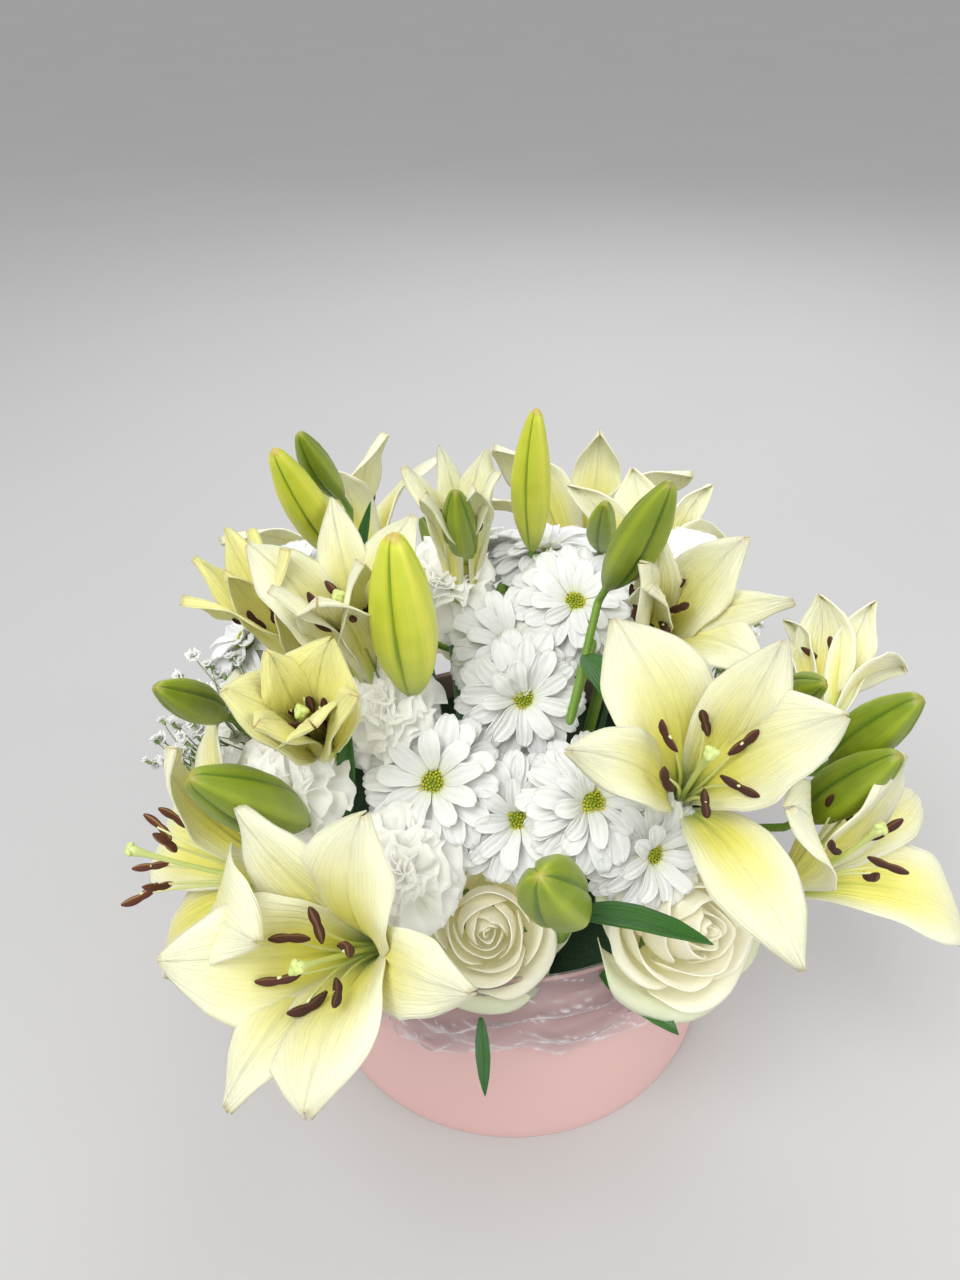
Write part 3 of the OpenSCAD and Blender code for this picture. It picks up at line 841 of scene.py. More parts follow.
class Sowing:
    """A Geometry Nodes tree that sets one shape on many points and makes the result one mesh."""

    def __init__(self) -> None:
        """Builds the tree."""
        tree = bpy.data.node_groups.new("sow_shape_on_points", "GeometryNodeTree")
        self.tree = tree
        new = tree.interface.new_socket
        new(name="Geometry", in_out="OUTPUT", socket_type="NodeSocketGeometry")
        self.keys = {}
        for name, kind in (("Points", "NodeSocketGeometry"), ("Shape", "NodeSocketObject"),
                           ("Size Spread", "NodeSocketFloat"), ("Unevenness", "NodeSocketFloat"),
                           ("Uneven Scale", "NodeSocketFloat"), ("Seed", "NodeSocketInt"),
                           ("Finish", "NodeSocketMaterial")):
            self.keys[name] = new(name=name, in_out="INPUT", socket_type=kind).identifier
        start = tree.nodes.new("NodeGroupInput")
        shape = self._node("GeometryNodeObjectInfo", {}, {"Object": start.outputs["Shape"],
                                                          "As Instance": True})
        turn = self._node("GeometryNodeInputNamedAttribute", {"data_type": "FLOAT_VECTOR"},
                          {"Name": "turn"})
        size = self._node("GeometryNodeInputNamedAttribute", {"data_type": "FLOAT"},
                          {"Name": "size"})
        euler = self._node("FunctionNodeEulerToRotation", {}, {0: turn.outputs["Attribute"]})
        least = self._math("SUBTRACT", 1.0, start.outputs["Size Spread"])
        most = self._math("ADD", 1.0, start.outputs["Size Spread"])
        chance = self._node("FunctionNodeRandomValue", {"data_type": "FLOAT"},
                            {2: least.outputs[0], 3: most.outputs[0],
                             "Seed": start.outputs["Seed"]})
        scale = self._math("MULTIPLY", size.outputs["Attribute"], chance.outputs[1])
        placed = self._node("GeometryNodeInstanceOnPoints", {}, {
            "Points": start.outputs["Points"], "Instance": shape.outputs["Geometry"],
            "Rotation": euler.outputs[0], "Scale": scale.outputs[0]})
        real = self._node("GeometryNodeRealizeInstances", {}, {0: placed.outputs[0]})
        here = self._node("GeometryNodeInputPosition", {}, {})
        cloud = self._node("ShaderNodeTexNoise", {}, {
            "Vector": here.outputs[0], "Scale": start.outputs["Uneven Scale"], "Detail": 1.0})
        centred = self._node("ShaderNodeVectorMath", {"operation": "SUBTRACT"},
                             {0: cloud.outputs["Color"], 1: (0.5, 0.5, 0.5)})
        shift = self._node("ShaderNodeVectorMath", {"operation": "SCALE"},
                           {0: centred.outputs[0], "Scale": start.outputs["Unevenness"]})
        moved = self._node("GeometryNodeSetPosition", {}, {"Geometry": real.outputs[0],
                                                           "Offset": shift.outputs[0]})
        smooth = self._node("GeometryNodeSetShadeSmooth", {}, {"Geometry": moved.outputs[0]})
        dressed = self._node("GeometryNodeSetMaterial", {}, {
            "Geometry": smooth.outputs[0], "Material": start.outputs["Finish"]})
        end = tree.nodes.new("NodeGroupOutput")
        tree.links.new(dressed.outputs[0], end.inputs[0])

    def _node(self, kind: str, settings: dict, inputs: dict) -> bpy.types.Node:
        """Adds one node with its settings, then its values and links.

        Args:
            kind: The node's type.
            settings: Its properties.
            inputs: Values or sockets by input.

        Returns:
            The node.
        """
        made = self.tree.nodes.new(kind)
        for key, value in settings.items():
            setattr(made, key, value)
        for key, value in inputs.items():
            if isinstance(value, bpy.types.NodeSocket):
                self.tree.links.new(value, made.inputs[key])
            else:
                made.inputs[key].default_value = value
        return made

    def _math(self, operation: str, first: object, second: object) -> bpy.types.Node:
        """Adds a Math node on two numbers."""
        return self._node("ShaderNodeMath", {"operation": operation}, {0: first, 1: second})

    def sow(self, name: str, places: list[Place], shape: bpy.types.Object,
            finish: bpy.types.Material, spread: float = 0.0, uneven: float = 0.0,
            uneven_scale: float = 40.0, seed: int = 1) -> bpy.types.Object:
        """Repeats a shape.

        Args:
            name: The new object's name.
            places: Where each copy stands.
            shape: The shape, which is removed afterwards by the caller.
            finish: The material.
            spread: How much sizes vary, as a share.
            uneven: How far noise moves the surface, in metres.
            uneven_scale: How fine that noise is.
            seed: The seed of what is random.

        Returns:
            The object, a plain mesh without modifiers.
        """
        mesh = bpy.data.meshes.new(name + "_points")
        mesh.from_pydata([tuple(p.at) for p in places], [], [])
        turns = [Matrix(p.axes.tolist()).to_euler() for p in places]
        mesh.attributes.new("turn", "FLOAT_VECTOR", "POINT").data.foreach_set(
            "vector", [angle for turn in turns for angle in turn])
        for mark in ("size", "tone"):
            mesh.attributes.new(mark, "FLOAT", "POINT").data.foreach_set(
                "value", [getattr(p, mark) for p in places])
        seeds = added(name + "_points", mesh)
        modifier = seeds.modifiers.new("sowing", "NODES")
        modifier.node_group = self.tree
        for key, value in (("Shape", shape), ("Size Spread", spread), ("Unevenness", uneven),
                           ("Uneven Scale", uneven_scale), ("Seed", seed), ("Finish", finish)):
            modifier[self.keys[key]] = value
        result = evaluated(seeds)
        result.name = name
        made = added(name, result)
        seeds.modifiers.remove(modifier)
        bpy.data.objects.remove(seeds)
        return made


def joined(name: str, pieces: list[bpy.types.Object]) -> bpy.types.Object:
    """Joins several objects into one.

    Args:
        name: The new name.
        pieces: The objects, the first of which stays.

    Returns:
        The joined object.
    """
    with bpy.context.temp_override(active_object=pieces[0], object=pieces[0],
                                   selected_objects=pieces, selected_editable_objects=pieces):
        bpy.ops.object.join()
    pieces[0].name = name
    return pieces[0]


# ---------------------------------------------------------------- lilies


@dataclass
class Tepal:
    """One tepal as measured: its turn about the axis, lean, length and kind."""

    turn: float
    lean: float
    length: float
    inner: bool


@dataclass
class Bloom:
    """One open lily as measured."""

    number: int
    foot: np.ndarray
    axes: np.ndarray
    length: float
    tepals: list[Tepal]


class LilyFrames:
    """Finds each open lily's foot, axis and tepals in the CAD."""

    PISTIL_SHARE = 0.74
    PISTIL_SUNK = 3 * MM
    INNER_START = 3.8 * MM

    def __init__(self) -> None:
        """Measures all the pistils."""
        self.pistils = [self._pistil(points) for points in loose_parts("lily_pistils")]

    def _pistil(self, points: np.ndarray) -> tuple[np.ndarray, np.ndarray, float]:
        """A pistil's foot, direction and height.

        Args:
            points: The points of its solid.

        Returns:
            The foot above the sunk part, the unit direction and the height from there.
        """
        middle, axis = long_axis(points)
        axis, low, high = upright(points, middle, axis, 1, False)
        return middle + axis * (low + self.PISTIL_SUNK), axis, high - low - self.PISTIL_SUNK

    def bloom(self, number: int) -> Bloom:
        """Measures one open lily.

        Args:
            number: The lily's number, from 1.

        Returns:
            The lily as measured.
        """
        parts = loose_parts(f"lily_{number}_tepals")
        foot, axis, height = min(
            self.pistils,
            key=lambda p: sum(np.linalg.norm(part - p[0], axis=1).min() for part in parts))
        axes = axes_about(axis)
        tepals = []
        for part in parts:
            away = np.linalg.norm(part - foot, axis=1)
            tip = (part[away.argmax()] - foot) @ axes
            tepals.append(Tepal(math.atan2(tip[1], tip[0]),
                                math.atan2(math.hypot(tip[0], tip[1]), tip[2]),
                                float(away.max()), bool(away.min() < self.INNER_START)))
        tepals.sort(key=lambda one: one.turn)
        return Bloom(number, foot, axes, height / self.PISTIL_SHARE, tepals)


@dataclass
class OpenLily:
    """The tepals, stamens and pistil of one open lily."""

    bloom: Bloom
    inner_width: float = 0.46
    outer_width: float = 0.31
    rows: int = 40
    columns: int = 17
    thickness: float = 0.7 * MM
    ripe: float = 0.2
    drawn_in: float = 0.25
    anther_reach: float = 11 * MM
    stations: tuple[float, ...] = (0, 0.08, 0.2, 0.35, 0.5, 0.65, 0.8, 0.9, 0.96, 1)
    inner_outline: tuple[float, ...] = (0.14, 0.2, 0.44, 0.80, 0.99, 0.97, 0.72, 0.42, 0.20, 0.03)
    outer_outline: tuple[float, ...] = (0.26, 0.32, 0.52, 0.82, 0.99, 0.96, 0.70, 0.40, 0.19, 0.03)

    def __post_init__(self) -> None:
        """Seeds this flower's own chances."""
        self.chance = np.random.default_rng(40 + self.bloom.number)

    def surface(self, tepal: Tepal) -> np.ndarray:
        """The curved sheet of one tepal.

        Args:
            tepal: The tepal as measured.

        Returns:
            Its points by row, from foot to tip, and column.
        """
        length, lean, chance = tepal.length, tepal.lean, self.chance
        t = np.linspace(0, 1, self.rows) ** 0.92
        s = np.linspace(-1, 1, self.columns)[None, :]
        roll = min(1.7 * lean + math.radians(10), math.radians(150))
        tip = length * np.array([math.sin(lean), math.cos(lean)])
        begin = (2.5 if tepal.inner else 5) * MM
        curve = bezier(np.array([[begin, 0], [begin + length * 0.12 * math.sin(lean), length * 0.4],
                                 tip - length * 0.32 * np.array([math.sin(roll), math.cos(roll)]),
                                 tip]), t)
        flow = np.gradient(curve, axis=0)
        flow /= np.linalg.norm(flow, axis=1)[:, None]
        outline = self.inner_outline if tepal.inner else self.outer_outline
        width = (self.inner_width if tepal.inner else self.outer_width) * chance.uniform(0.94, 1.05)
        half = (length * width / 2 * np.interp(t, self.stations, outline))[:, None]
        flat = soft(t, 0.12, 0.7)[:, None]
        radius = (curve[:, :1] + 3 * MM) * (1 - flat) + length * 0.42 * flat
        bend = s * half / radius
        ahead, aside, axis = self.bloom.axes.T
        radial = np.cos(tepal.turn) * ahead + np.sin(tepal.turn) * aside
        side = np.cross(axis, radial)
        twist = math.radians(chance.normal(0, 9)) * t ** 2
        out = flow[:, 1:] * radial - flow[:, :1] * axis
        across = side[None] * np.cos(twist)[:, None] + out * np.sin(twist)[:, None]
        out = out * np.cos(twist)[:, None] - side[None] * np.sin(twist)[:, None]
        bow = length * 0.03 * chance.normal() * np.sin(math.pi * t)
        middle = (self.bloom.foot + curve[:, :1] * radial + curve[:, 1:] * axis
                  + bow[:, None] * side)
        tt = t[:, None]
        lift = length * 0.011 * (1 - tt) ** 0.6 * (
            np.exp(-(s / 0.05) ** 2) - 0.55 * np.exp(-((np.abs(s) - 0.14) / 0.07) ** 2))
        phase = np.where(s < 0, chance.uniform(0, 6.3), chance.uniform(0, 6.3))
        pace = chance.uniform(1.7, 2.6) * TURN
        edge = np.abs(s) ** 3
        lift = lift + length * 0.022 * soft(tt, 0.3, 0.65) * (1 - tt ** 6) * edge * np.sin(
            pace * tt + phase)
        lift = lift + length * 0.045 * edge * np.abs(s) * soft(tt, 0.35, 0.85)
        lift = lift + 0.35 * MM * np.sin(34 * tt + 7 * s + phase) * np.sin(5 * s + 9 * tt) * soft(
            tt, 0.4, 0.9)
        normal = out[:, None] * np.cos(bend)[..., None] + across[:, None] * np.sin(bend)[..., None]
        return (middle[:, None] + across[:, None] * (radius * np.sin(bend))[..., None]
                - out[:, None] * (radius * (1 - np.cos(bend)))[..., None]
                + normal * lift[..., None])

    def build_tepals(self, finish: bpy.types.Material) -> bpy.types.Object:
        """Makes the six tepals as one piece.

        Args:
            finish: Their material.

        Returns:
            The finished piece.
        """
        growth = Growth()
        for tepal in self.bloom.tepals:
            growth.sheet(self.surface(tepal), tone=self.ripe + self.chance.uniform(-0.1, 0.1))
        number = self.bloom.number
        return settle(growth.piece(f"lily_{number}_open_tepals", [finish], self.thickness),
                      "tepal_yellow" if self.ripe > 0.5 else "tepal_cream",
                      f"lily_{number}_tepals")

    def build_stamens(self, anther: bpy.types.Material, thread: bpy.types.Material,
                      rust: float) -> bpy.types.Object:
        """Makes the stamens where the CAD has them.

        Args:
            anther: The pollen sacs' material.
            thread: The filaments' material.
            rust: How orange the pollen is, from 0 to 1.

        Returns:
            The finished piece.
        """
        growth, bloom, number = Growth(), self.bloom, self.bloom.number
        for points in loose_parts(f"lily_{number}_stamens"):
            away = np.linalg.norm(points - bloom.foot, axis=1)
            head = points[away > away.max() - self.anther_reach]
            centre, along = long_axis(head)
            if along @ bloom.axes[:, 2] < 0:
                along = -along
            self._stamen(growth, centre, along, rust)
        return settle(growth.piece(f"lily_{number}_stamen_set", [anther, thread]), "anther_rust",
                      f"lily_{number}_stamens")

    def _stamen(self, growth: Growth, centre: np.ndarray, along: np.ndarray, rust: float) -> None:
        """Adds one thread and its pollen sac.

        Args:
            growth: What they are added to.
            centre: The sac's middle in the CAD.
            along: The sac's direction.
            rust: How orange the pollen is, from 0 to 1.
        """
        bloom, chance = self.bloom, self.chance
        axis = bloom.axes[:, 2]
        toward = centre - bloom.foot
        off = toward - axis * (toward @ axis)
        centre = centre - off * self.drawn_in
        start = bloom.foot + unit(off) * 1.8 * MM + axis * 2 * MM
        k = np.linspace(0, 1, 14)[:, None]
        sag = unit(off) * (-3.0 * MM) * np.sin(math.pi * k) + unit(np.cross(axis, off)) * (
            chance.normal() * 1.5 * MM) * np.sin(math.pi * k)
        growth.tube(start + (centre - start) * k + sag, np.linspace(0.95, 0.5, 14) * MM, 7, slot=1)
        lean = unit(along + chance.normal(0, 0.28, 3))
        cross = unit(np.cross(lean, off))
        curl = np.cross(cross, lean)
        m = np.linspace(-1, 1, 13)[:, None]
        path = centre + lean * m * 8 * MM + curl * (1 - m ** 2) * chance.uniform(0.5, 2.2) * MM
        fat = np.array([0.5, 1.1, 1.5, 1.7, 1.75, 1.6, 1.4, 1.6, 1.75, 1.75, 1.55, 1.15, 0.5])
        growth.tube(path, fat * MM * chance.uniform(0.92, 1.1), 10,
                    tone=float(np.clip(rust + chance.uniform(-0.1, 0.15), 0, 1)))


class Pistils:
    """The styles and three-lobed stigmas of all the open lilies."""

    @staticmethod
    def build(blooms: list[Bloom], finish: bpy.types.Material) -> bpy.types.Object:
        """Makes all the pistils as one piece.

        Args:
            blooms: The open lilies.
            finish: The material.

        Returns:
            The finished piece.
        """
        growth, chance = Growth(), np.random.default_rng(5)
        for bloom in blooms:
            height = bloom.length * LilyFrames.PISTIL_SHARE
            axis, side = bloom.axes[:, 2], bloom.axes[:, 0]
            k = np.linspace(0, 1, 22)[:, None]
            bow = side * chance.uniform(-3, 3) * MM + bloom.axes[:, 1] * chance.uniform(-3, 3) * MM
            path = bloom.foot + axis * (k * height - 2 * MM) + bow * np.sin(math.pi * k)
            radii = np.interp(k[:, 0], [0, 0.03, 0.2, 0.26, 0.8, 0.93, 0.985, 1],
                              [1.4, 1.9, 1.8, 1.15, 1.05, 1.6, 3.0, 2.4]) * MM
            growth.tube(path, radii, 12)
            for lobe in range(3):
                turn = lobe * TURN / 3
                way = np.cos(turn) * side + np.sin(turn) * bloom.axes[:, 1]
                m = np.linspace(-0.3, 1, 6)[:, None]
                top = bloom.foot + axis * (height - 2.3 * MM)
                growth.tube(top + way * m * 3.1 * MM - axis * m ** 2 * 0.8 * MM,
                            np.array([1.0, 1.4, 1.6, 1.6, 1.3, 0.7]) * MM, 8)
        return settle(growth.piece("lily_pistil_set", [finish]), "pistil_green", "lily_pistils")


@dataclass
class BudGroup:
    """The closed buds of one lily stem."""

    letter: str
    rows: int = 44
    columns: int = 60
    ripe_length: float = 83 * MM
    fullness: float = 0.93

    def build(self, finish: bpy.types.Material) -> bpy.types.Object:
        """Makes the buds of this stem as one piece.

        Args:
            finish: Their material.

        Returns:
            The finished piece.
        """
        growth = Growth()
        for points in loose_parts(f"lily_buds_{self.letter}"):
            middle, axis = long_axis(points)
            axis, low, high = upright(points, middle, axis, 2, True)
            off = points - middle - np.outer((points - middle) @ axis, axis)
            self._bud(growth, middle + axis * low, axes_about(axis), high - low,
                      float(np.linalg.norm(off, axis=1).max()))
        return settle(growth.piece(f"lily_bud_set_{self.letter}", [finish]), "bud_green",
                      f"lily_buds_{self.letter}")

    def _bud(self, growth: Growth, foot: np.ndarray, axes: np.ndarray, length: float,
             radius: float) -> None:
        """Adds one bud: three outer tepals folded over three inner ribs.

        Args:
            growth: What it is added to.
            foot: Its lower end.
            axes: Its axes, the last upwards.
            length: Its length.
            radius: Its greatest radius.
        """
        chance = np.random.default_rng(int(length / MM * 10))
        k = np.linspace(0, 1, self.rows)
        a = np.linspace(0, TURN, self.columns, endpoint=False)[None, :]
        profile = np.interp(k, [0, 0.03, 0.1, 0.22, 0.38, 0.55, 0.72, 0.86, 0.94, 0.985, 1],
                            [0.26, 0.40, 0.60, 0.84, 1, 0.98, 0.82, 0.56, 0.38, 0.24, 0.0])
        profile = np.convolve(np.pad(profile, 1, "edge"), [0.25, 0.5, 0.25], "valid")[:, None]
        profile[-1] = 0.0
        kk = k[:, None]
        turn = a + chance.uniform(0, 6.3) + 0.25 * kk
        fold = np.mod(turn * 3 / TURN, 1.0)
        furrow = np.exp(-(np.minimum(fold, 1 - fold) / 0.055) ** 2)
        rib = np.exp(-((fold - 0.5) / 0.10) ** 2)
        swell = 1 + 0.05 * np.cos(3 * turn + math.pi) - 0.18 * furrow * soft(kk, 0.02, 0.3)
        swell = swell + 0.07 * rib * soft(kk, 0.05, 0.3) - 0.05 * np.exp(
            -((fold - 0.5) / 0.025) ** 2) * soft(kk, 0.1, 0.4)
        swell = swell + 0.02 * np.sin(2 * turn + 3 * kk)
        reach = radius * self.fullness * profile * swell
        bow = chance.uniform(-0.02, 0.02) * length * np.sin(math.pi * kk)
        grid = (foot + axes[:, 2] * (kk * length)[..., None]
                + axes[:, 0] * (reach * np.cos(a) + bow)[..., None]
                + axes[:, 1] * (reach * np.sin(a))[..., None])
        ridge = np.clip(1 - furrow * 1.2, 0, 1) * (0.45 + 0.55 * rib)
        growth.sheet(grid, tone=float(length > self.ripe_length), closed=True, ridge=ridge)


class StemCopy(Enum):
    """The stems taken from the CAD, with the fineness they are smoothed at."""

    LILY = 0.8 * MM
    ROSE = 0.75 * MM
    DAISY = 0.85 * MM
    CARNATION = 0.7 * MM

    def build(self, node: str, name: str, slot: str,
              finish: bpy.types.Material) -> bpy.types.Object:
        """Makes a smooth, rounded copy of a CAD node.

        Args:
            node: The CAD node.
            name: The new piece's name.
            slot: The record's material slot.
            finish: The material.

        Returns:
            The finished piece.
        """
        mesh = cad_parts[node].data.copy()
        work = bmesh.new()
        work.from_mesh(mesh)
        bmesh.ops.remove_doubles(work, verts=work.verts, dist=WELD)
        work.to_mesh(mesh)
        work.free()
        rough = added(name, mesh)
        remesh = rough.modifiers.new("even", "REMESH")
        remesh.mode = "VOXEL"
        remesh.voxel_size = self.value
        relax = rough.modifiers.new("relax", "SMOOTH")
        relax.factor, relax.iterations = 0.5, 10
        graph = bpy.context.evaluated_depsgraph_get()
        result = bpy.data.meshes.new_from_object(rough.evaluated_get(graph))
        result.materials.clear()
        result.materials.append(finish)
        result.polygons.foreach_set("use_smooth", [True] * len(result.polygons))
        made = added(name, result)
        bpy.data.objects.remove(rough)
        return settle(made, slot, node)


@dataclass
class Leaves:
    """The lily leaves."""

    rows: int = 30
    columns: int = 11
    thickness: float = 0.45 * MM

    def build(self, finish: bpy.types.Material) -> bpy.types.Object:
        """Makes all the leaves as one piece.

        Args:
            finish: Their material.

        Returns:
            The finished piece.
        """
        growth, chance = Growth(), np.random.default_rng(12)
        for points in loose_parts("leaves"):
            growth.sheet(self._leaf(points, chance), tone=float(chance.uniform()))
        return settle(growth.piece("lily_leaf_set", [finish], self.thickness), "leaf_green",
                      "leaves")

    def _leaf(self, points: np.ndarray, chance: np.random.Generator) -> np.ndarray:
        """One leaf's sheet between the ends of its CAD blade.

        Args:
            points: The blade's points.
            chance: The seeded chances.

        Returns:
            Its points by row, from foot to tip, and column.
        """
        _, along = long_axis(points)
        place = points @ along
        ends = [points[place.argmin()], points[place.argmax()]]
        gaps = [np.partition(np.linalg.norm(points - end, axis=1), 1)[1] for end in ends]
        if gaps[0] > gaps[1]:
            ends.reverse()
        foot, tip = ends
        line = tip - foot
        length = float(np.linalg.norm(line))
        along = line / length
        off = points - foot - np.outer((points - foot) @ along, along)
        side = np.linalg.svd(off - off.mean(axis=0), full_matrices=False)[2][0]
        half = float(np.abs(off @ side).max())
        out = np.cross(side, along)
        bulge = off[np.abs((points - foot) @ along / length - 0.5) < 0.15].mean(axis=0)
        t = np.linspace(0, 1, self.rows)[:, None]
        s = np.linspace(-1, 1, self.columns)[None, :]
        width = half * np.interp(t, [0, 0.12, 0.3, 0.5, 0.75, 0.92, 1],
                                 [0.22, 0.62, 0.93, 1.0, 0.72, 0.3, 0.02])
        keel = 0.28 * half * np.abs(s) * np.sign(out[2] or 1) + 0.03 * half * np.cos(s * 22)
        wave = 0.05 * half * np.sin(t * 9 + chance.uniform(0, 6)) * s
        bow = 4 * t * (1 - t)
        return (foot + along * (t * length)[..., None] + bulge * (bow * np.ones_like(s))[..., None]
                + side * (s * width)[..., None] + out * ((keel + wave) * (width / half))[..., None])


# ---------------------------------------------------------------- roses


RoseRing = tuple[int, float, float, float, float, float]


@dataclass
class Rose:
    """One rose, from its outer petals to the swirl in its middle."""

    number: int
    rows: int = 16
    columns: int = 25
    thickness: float = 0.4 * MM
    core_share: float = 0.38
    rings: tuple[RoseRing, ...] = (
        (3, 0.455, 0.02, 0.19, 70, 1.10), (3, 0.40, 0.12, 0.15, 68, 1.05),
        (3, 0.335, 0.20, 0.08, 68, 0.98), (3, 0.265, 0.26, 0.04, 70, 0.86),
        (3, 0.20, 0.30, 0.015, 74, 0.74), (3, 0.135, 0.325, 0.0, 80, 0.66),
        (2, 0.075, 0.335, 0.0, 112, 0.62), (1, 0.035, 0.335, 0.0, 165, 0.7))

    def build(self, finish: bpy.types.Material) -> bpy.types.Object:
        """Makes the rose around the core that the CAD has.

        Args:
            finish: Its material.

        Returns:
            The finished piece.
        """
        parts = loose_parts(f"rose_{self.number}_petals")
        core = min(parts, key=lambda points: float(np.linalg.norm(np.ptp(points, axis=0))))
        middle, axis = long_axis(core)
        axis, low, high = upright(core, middle, axis, 1, True)
        size = (high - low) / self.core_share
        centre = middle + axis * (low + 0.1 * size)
        axes, chance = axes_about(axis), np.random.default_rng(80 + self.number)
        growth, start = Growth(), chance.uniform(0, 6.3)
        for index, ring in enumerate(self.rings):
            for petal in range(ring[0]):
                turn = start + TURN * (petal / ring[0]) + index * 0.9
                grid = self._petal(size, ring, index, turn, chance)
                tone = 1.0 - index * 0.25 + chance.uniform(-0.1, 0.1)
                growth.sheet(centre + grid @ axes.T, tone=float(np.clip(tone, 0, 1)))
        return settle(growth.piece(f"rose_{self.number}_flower", [finish], self.thickness),
                      "rose_cream", f"rose_{self.number}_petals")

    def _petal(self, size: float, ring: RoseRing, index: int, turn: float,
               chance: np.random.Generator) -> np.ndarray:
        """One petal's sheet, with the rose's axis along z.

        Args:
            size: The rose's diameter.
            ring: Count, radius, height, outward curl, half angle in degrees and closing.
            index: The ring's number from outside.
            turn: The petal's place about the axis.
            chance: The seeded chances.

        Returns:
            Its points by row and column.
        """
        _, reach, height, curl, half, close = ring
        u = np.linspace(-1, 1, self.columns)[None, :]
        top = (1 - 0.36 * np.abs(u) ** 2.6 - 0.012 * np.cos(u * 9 + chance.uniform(0, 6))
               + 0.05 * np.exp(-(u / 0.16) ** 2) * (index < 4))
        v = np.linspace(0, 1, self.rows)[:, None] * top
        angle = turn + u * math.radians(half) * (0.45 + 0.55 * soft(v, 0, 0.5))
        cup = np.interp(v, [0, 0.15, 0.35, 0.6, 0.8, 1.0],
                        [0.22, 0.66, 0.93, 1.0, 0.45 + 0.54 * close, close])
        lip = curl * soft(v, 0.62, 1.05) ** 1.4 * (0.75 + 0.5 * np.abs(u))
        tuck = -0.10 * u + 0.03 * np.sin(u * 4 + chance.uniform(0, 6)) * v
        radius = size * (reach * (cup + tuck) + lip * 0.62
                         * (0.75 + 0.25 * np.cos(u * 2.2 + chance.uniform(-1, 1))))
        drop = size * curl * 0.75 * soft(v, 0.8, 1.05) ** 1.6 * (0.7 + 0.5 * np.abs(u))
        z = size * (-0.28 + (height + 0.28) * v) - drop
        z = z + size * 0.012 * np.sin(u * 6 + chance.uniform(0, 6)) * soft(v, 0.6, 1)
        return np.stack([radius * np.cos(angle), radius * np.sin(angle),
                         z * np.ones_like(angle)], -1)


# ---------------------------------------------------------------- chrysanthemums


@dataclass
class DaisyHead:
    """Where one chrysanthemum is, as measured from its disc."""

    DISC_SHARE = 0.224
    RISE = 5.6 * MM

    centre: np.ndarray
    axes: np.ndarray
    disc: float

    @property
    def radius(self) -> float:
        """The reach of its rays."""
        return self.disc / self.DISC_SHARE


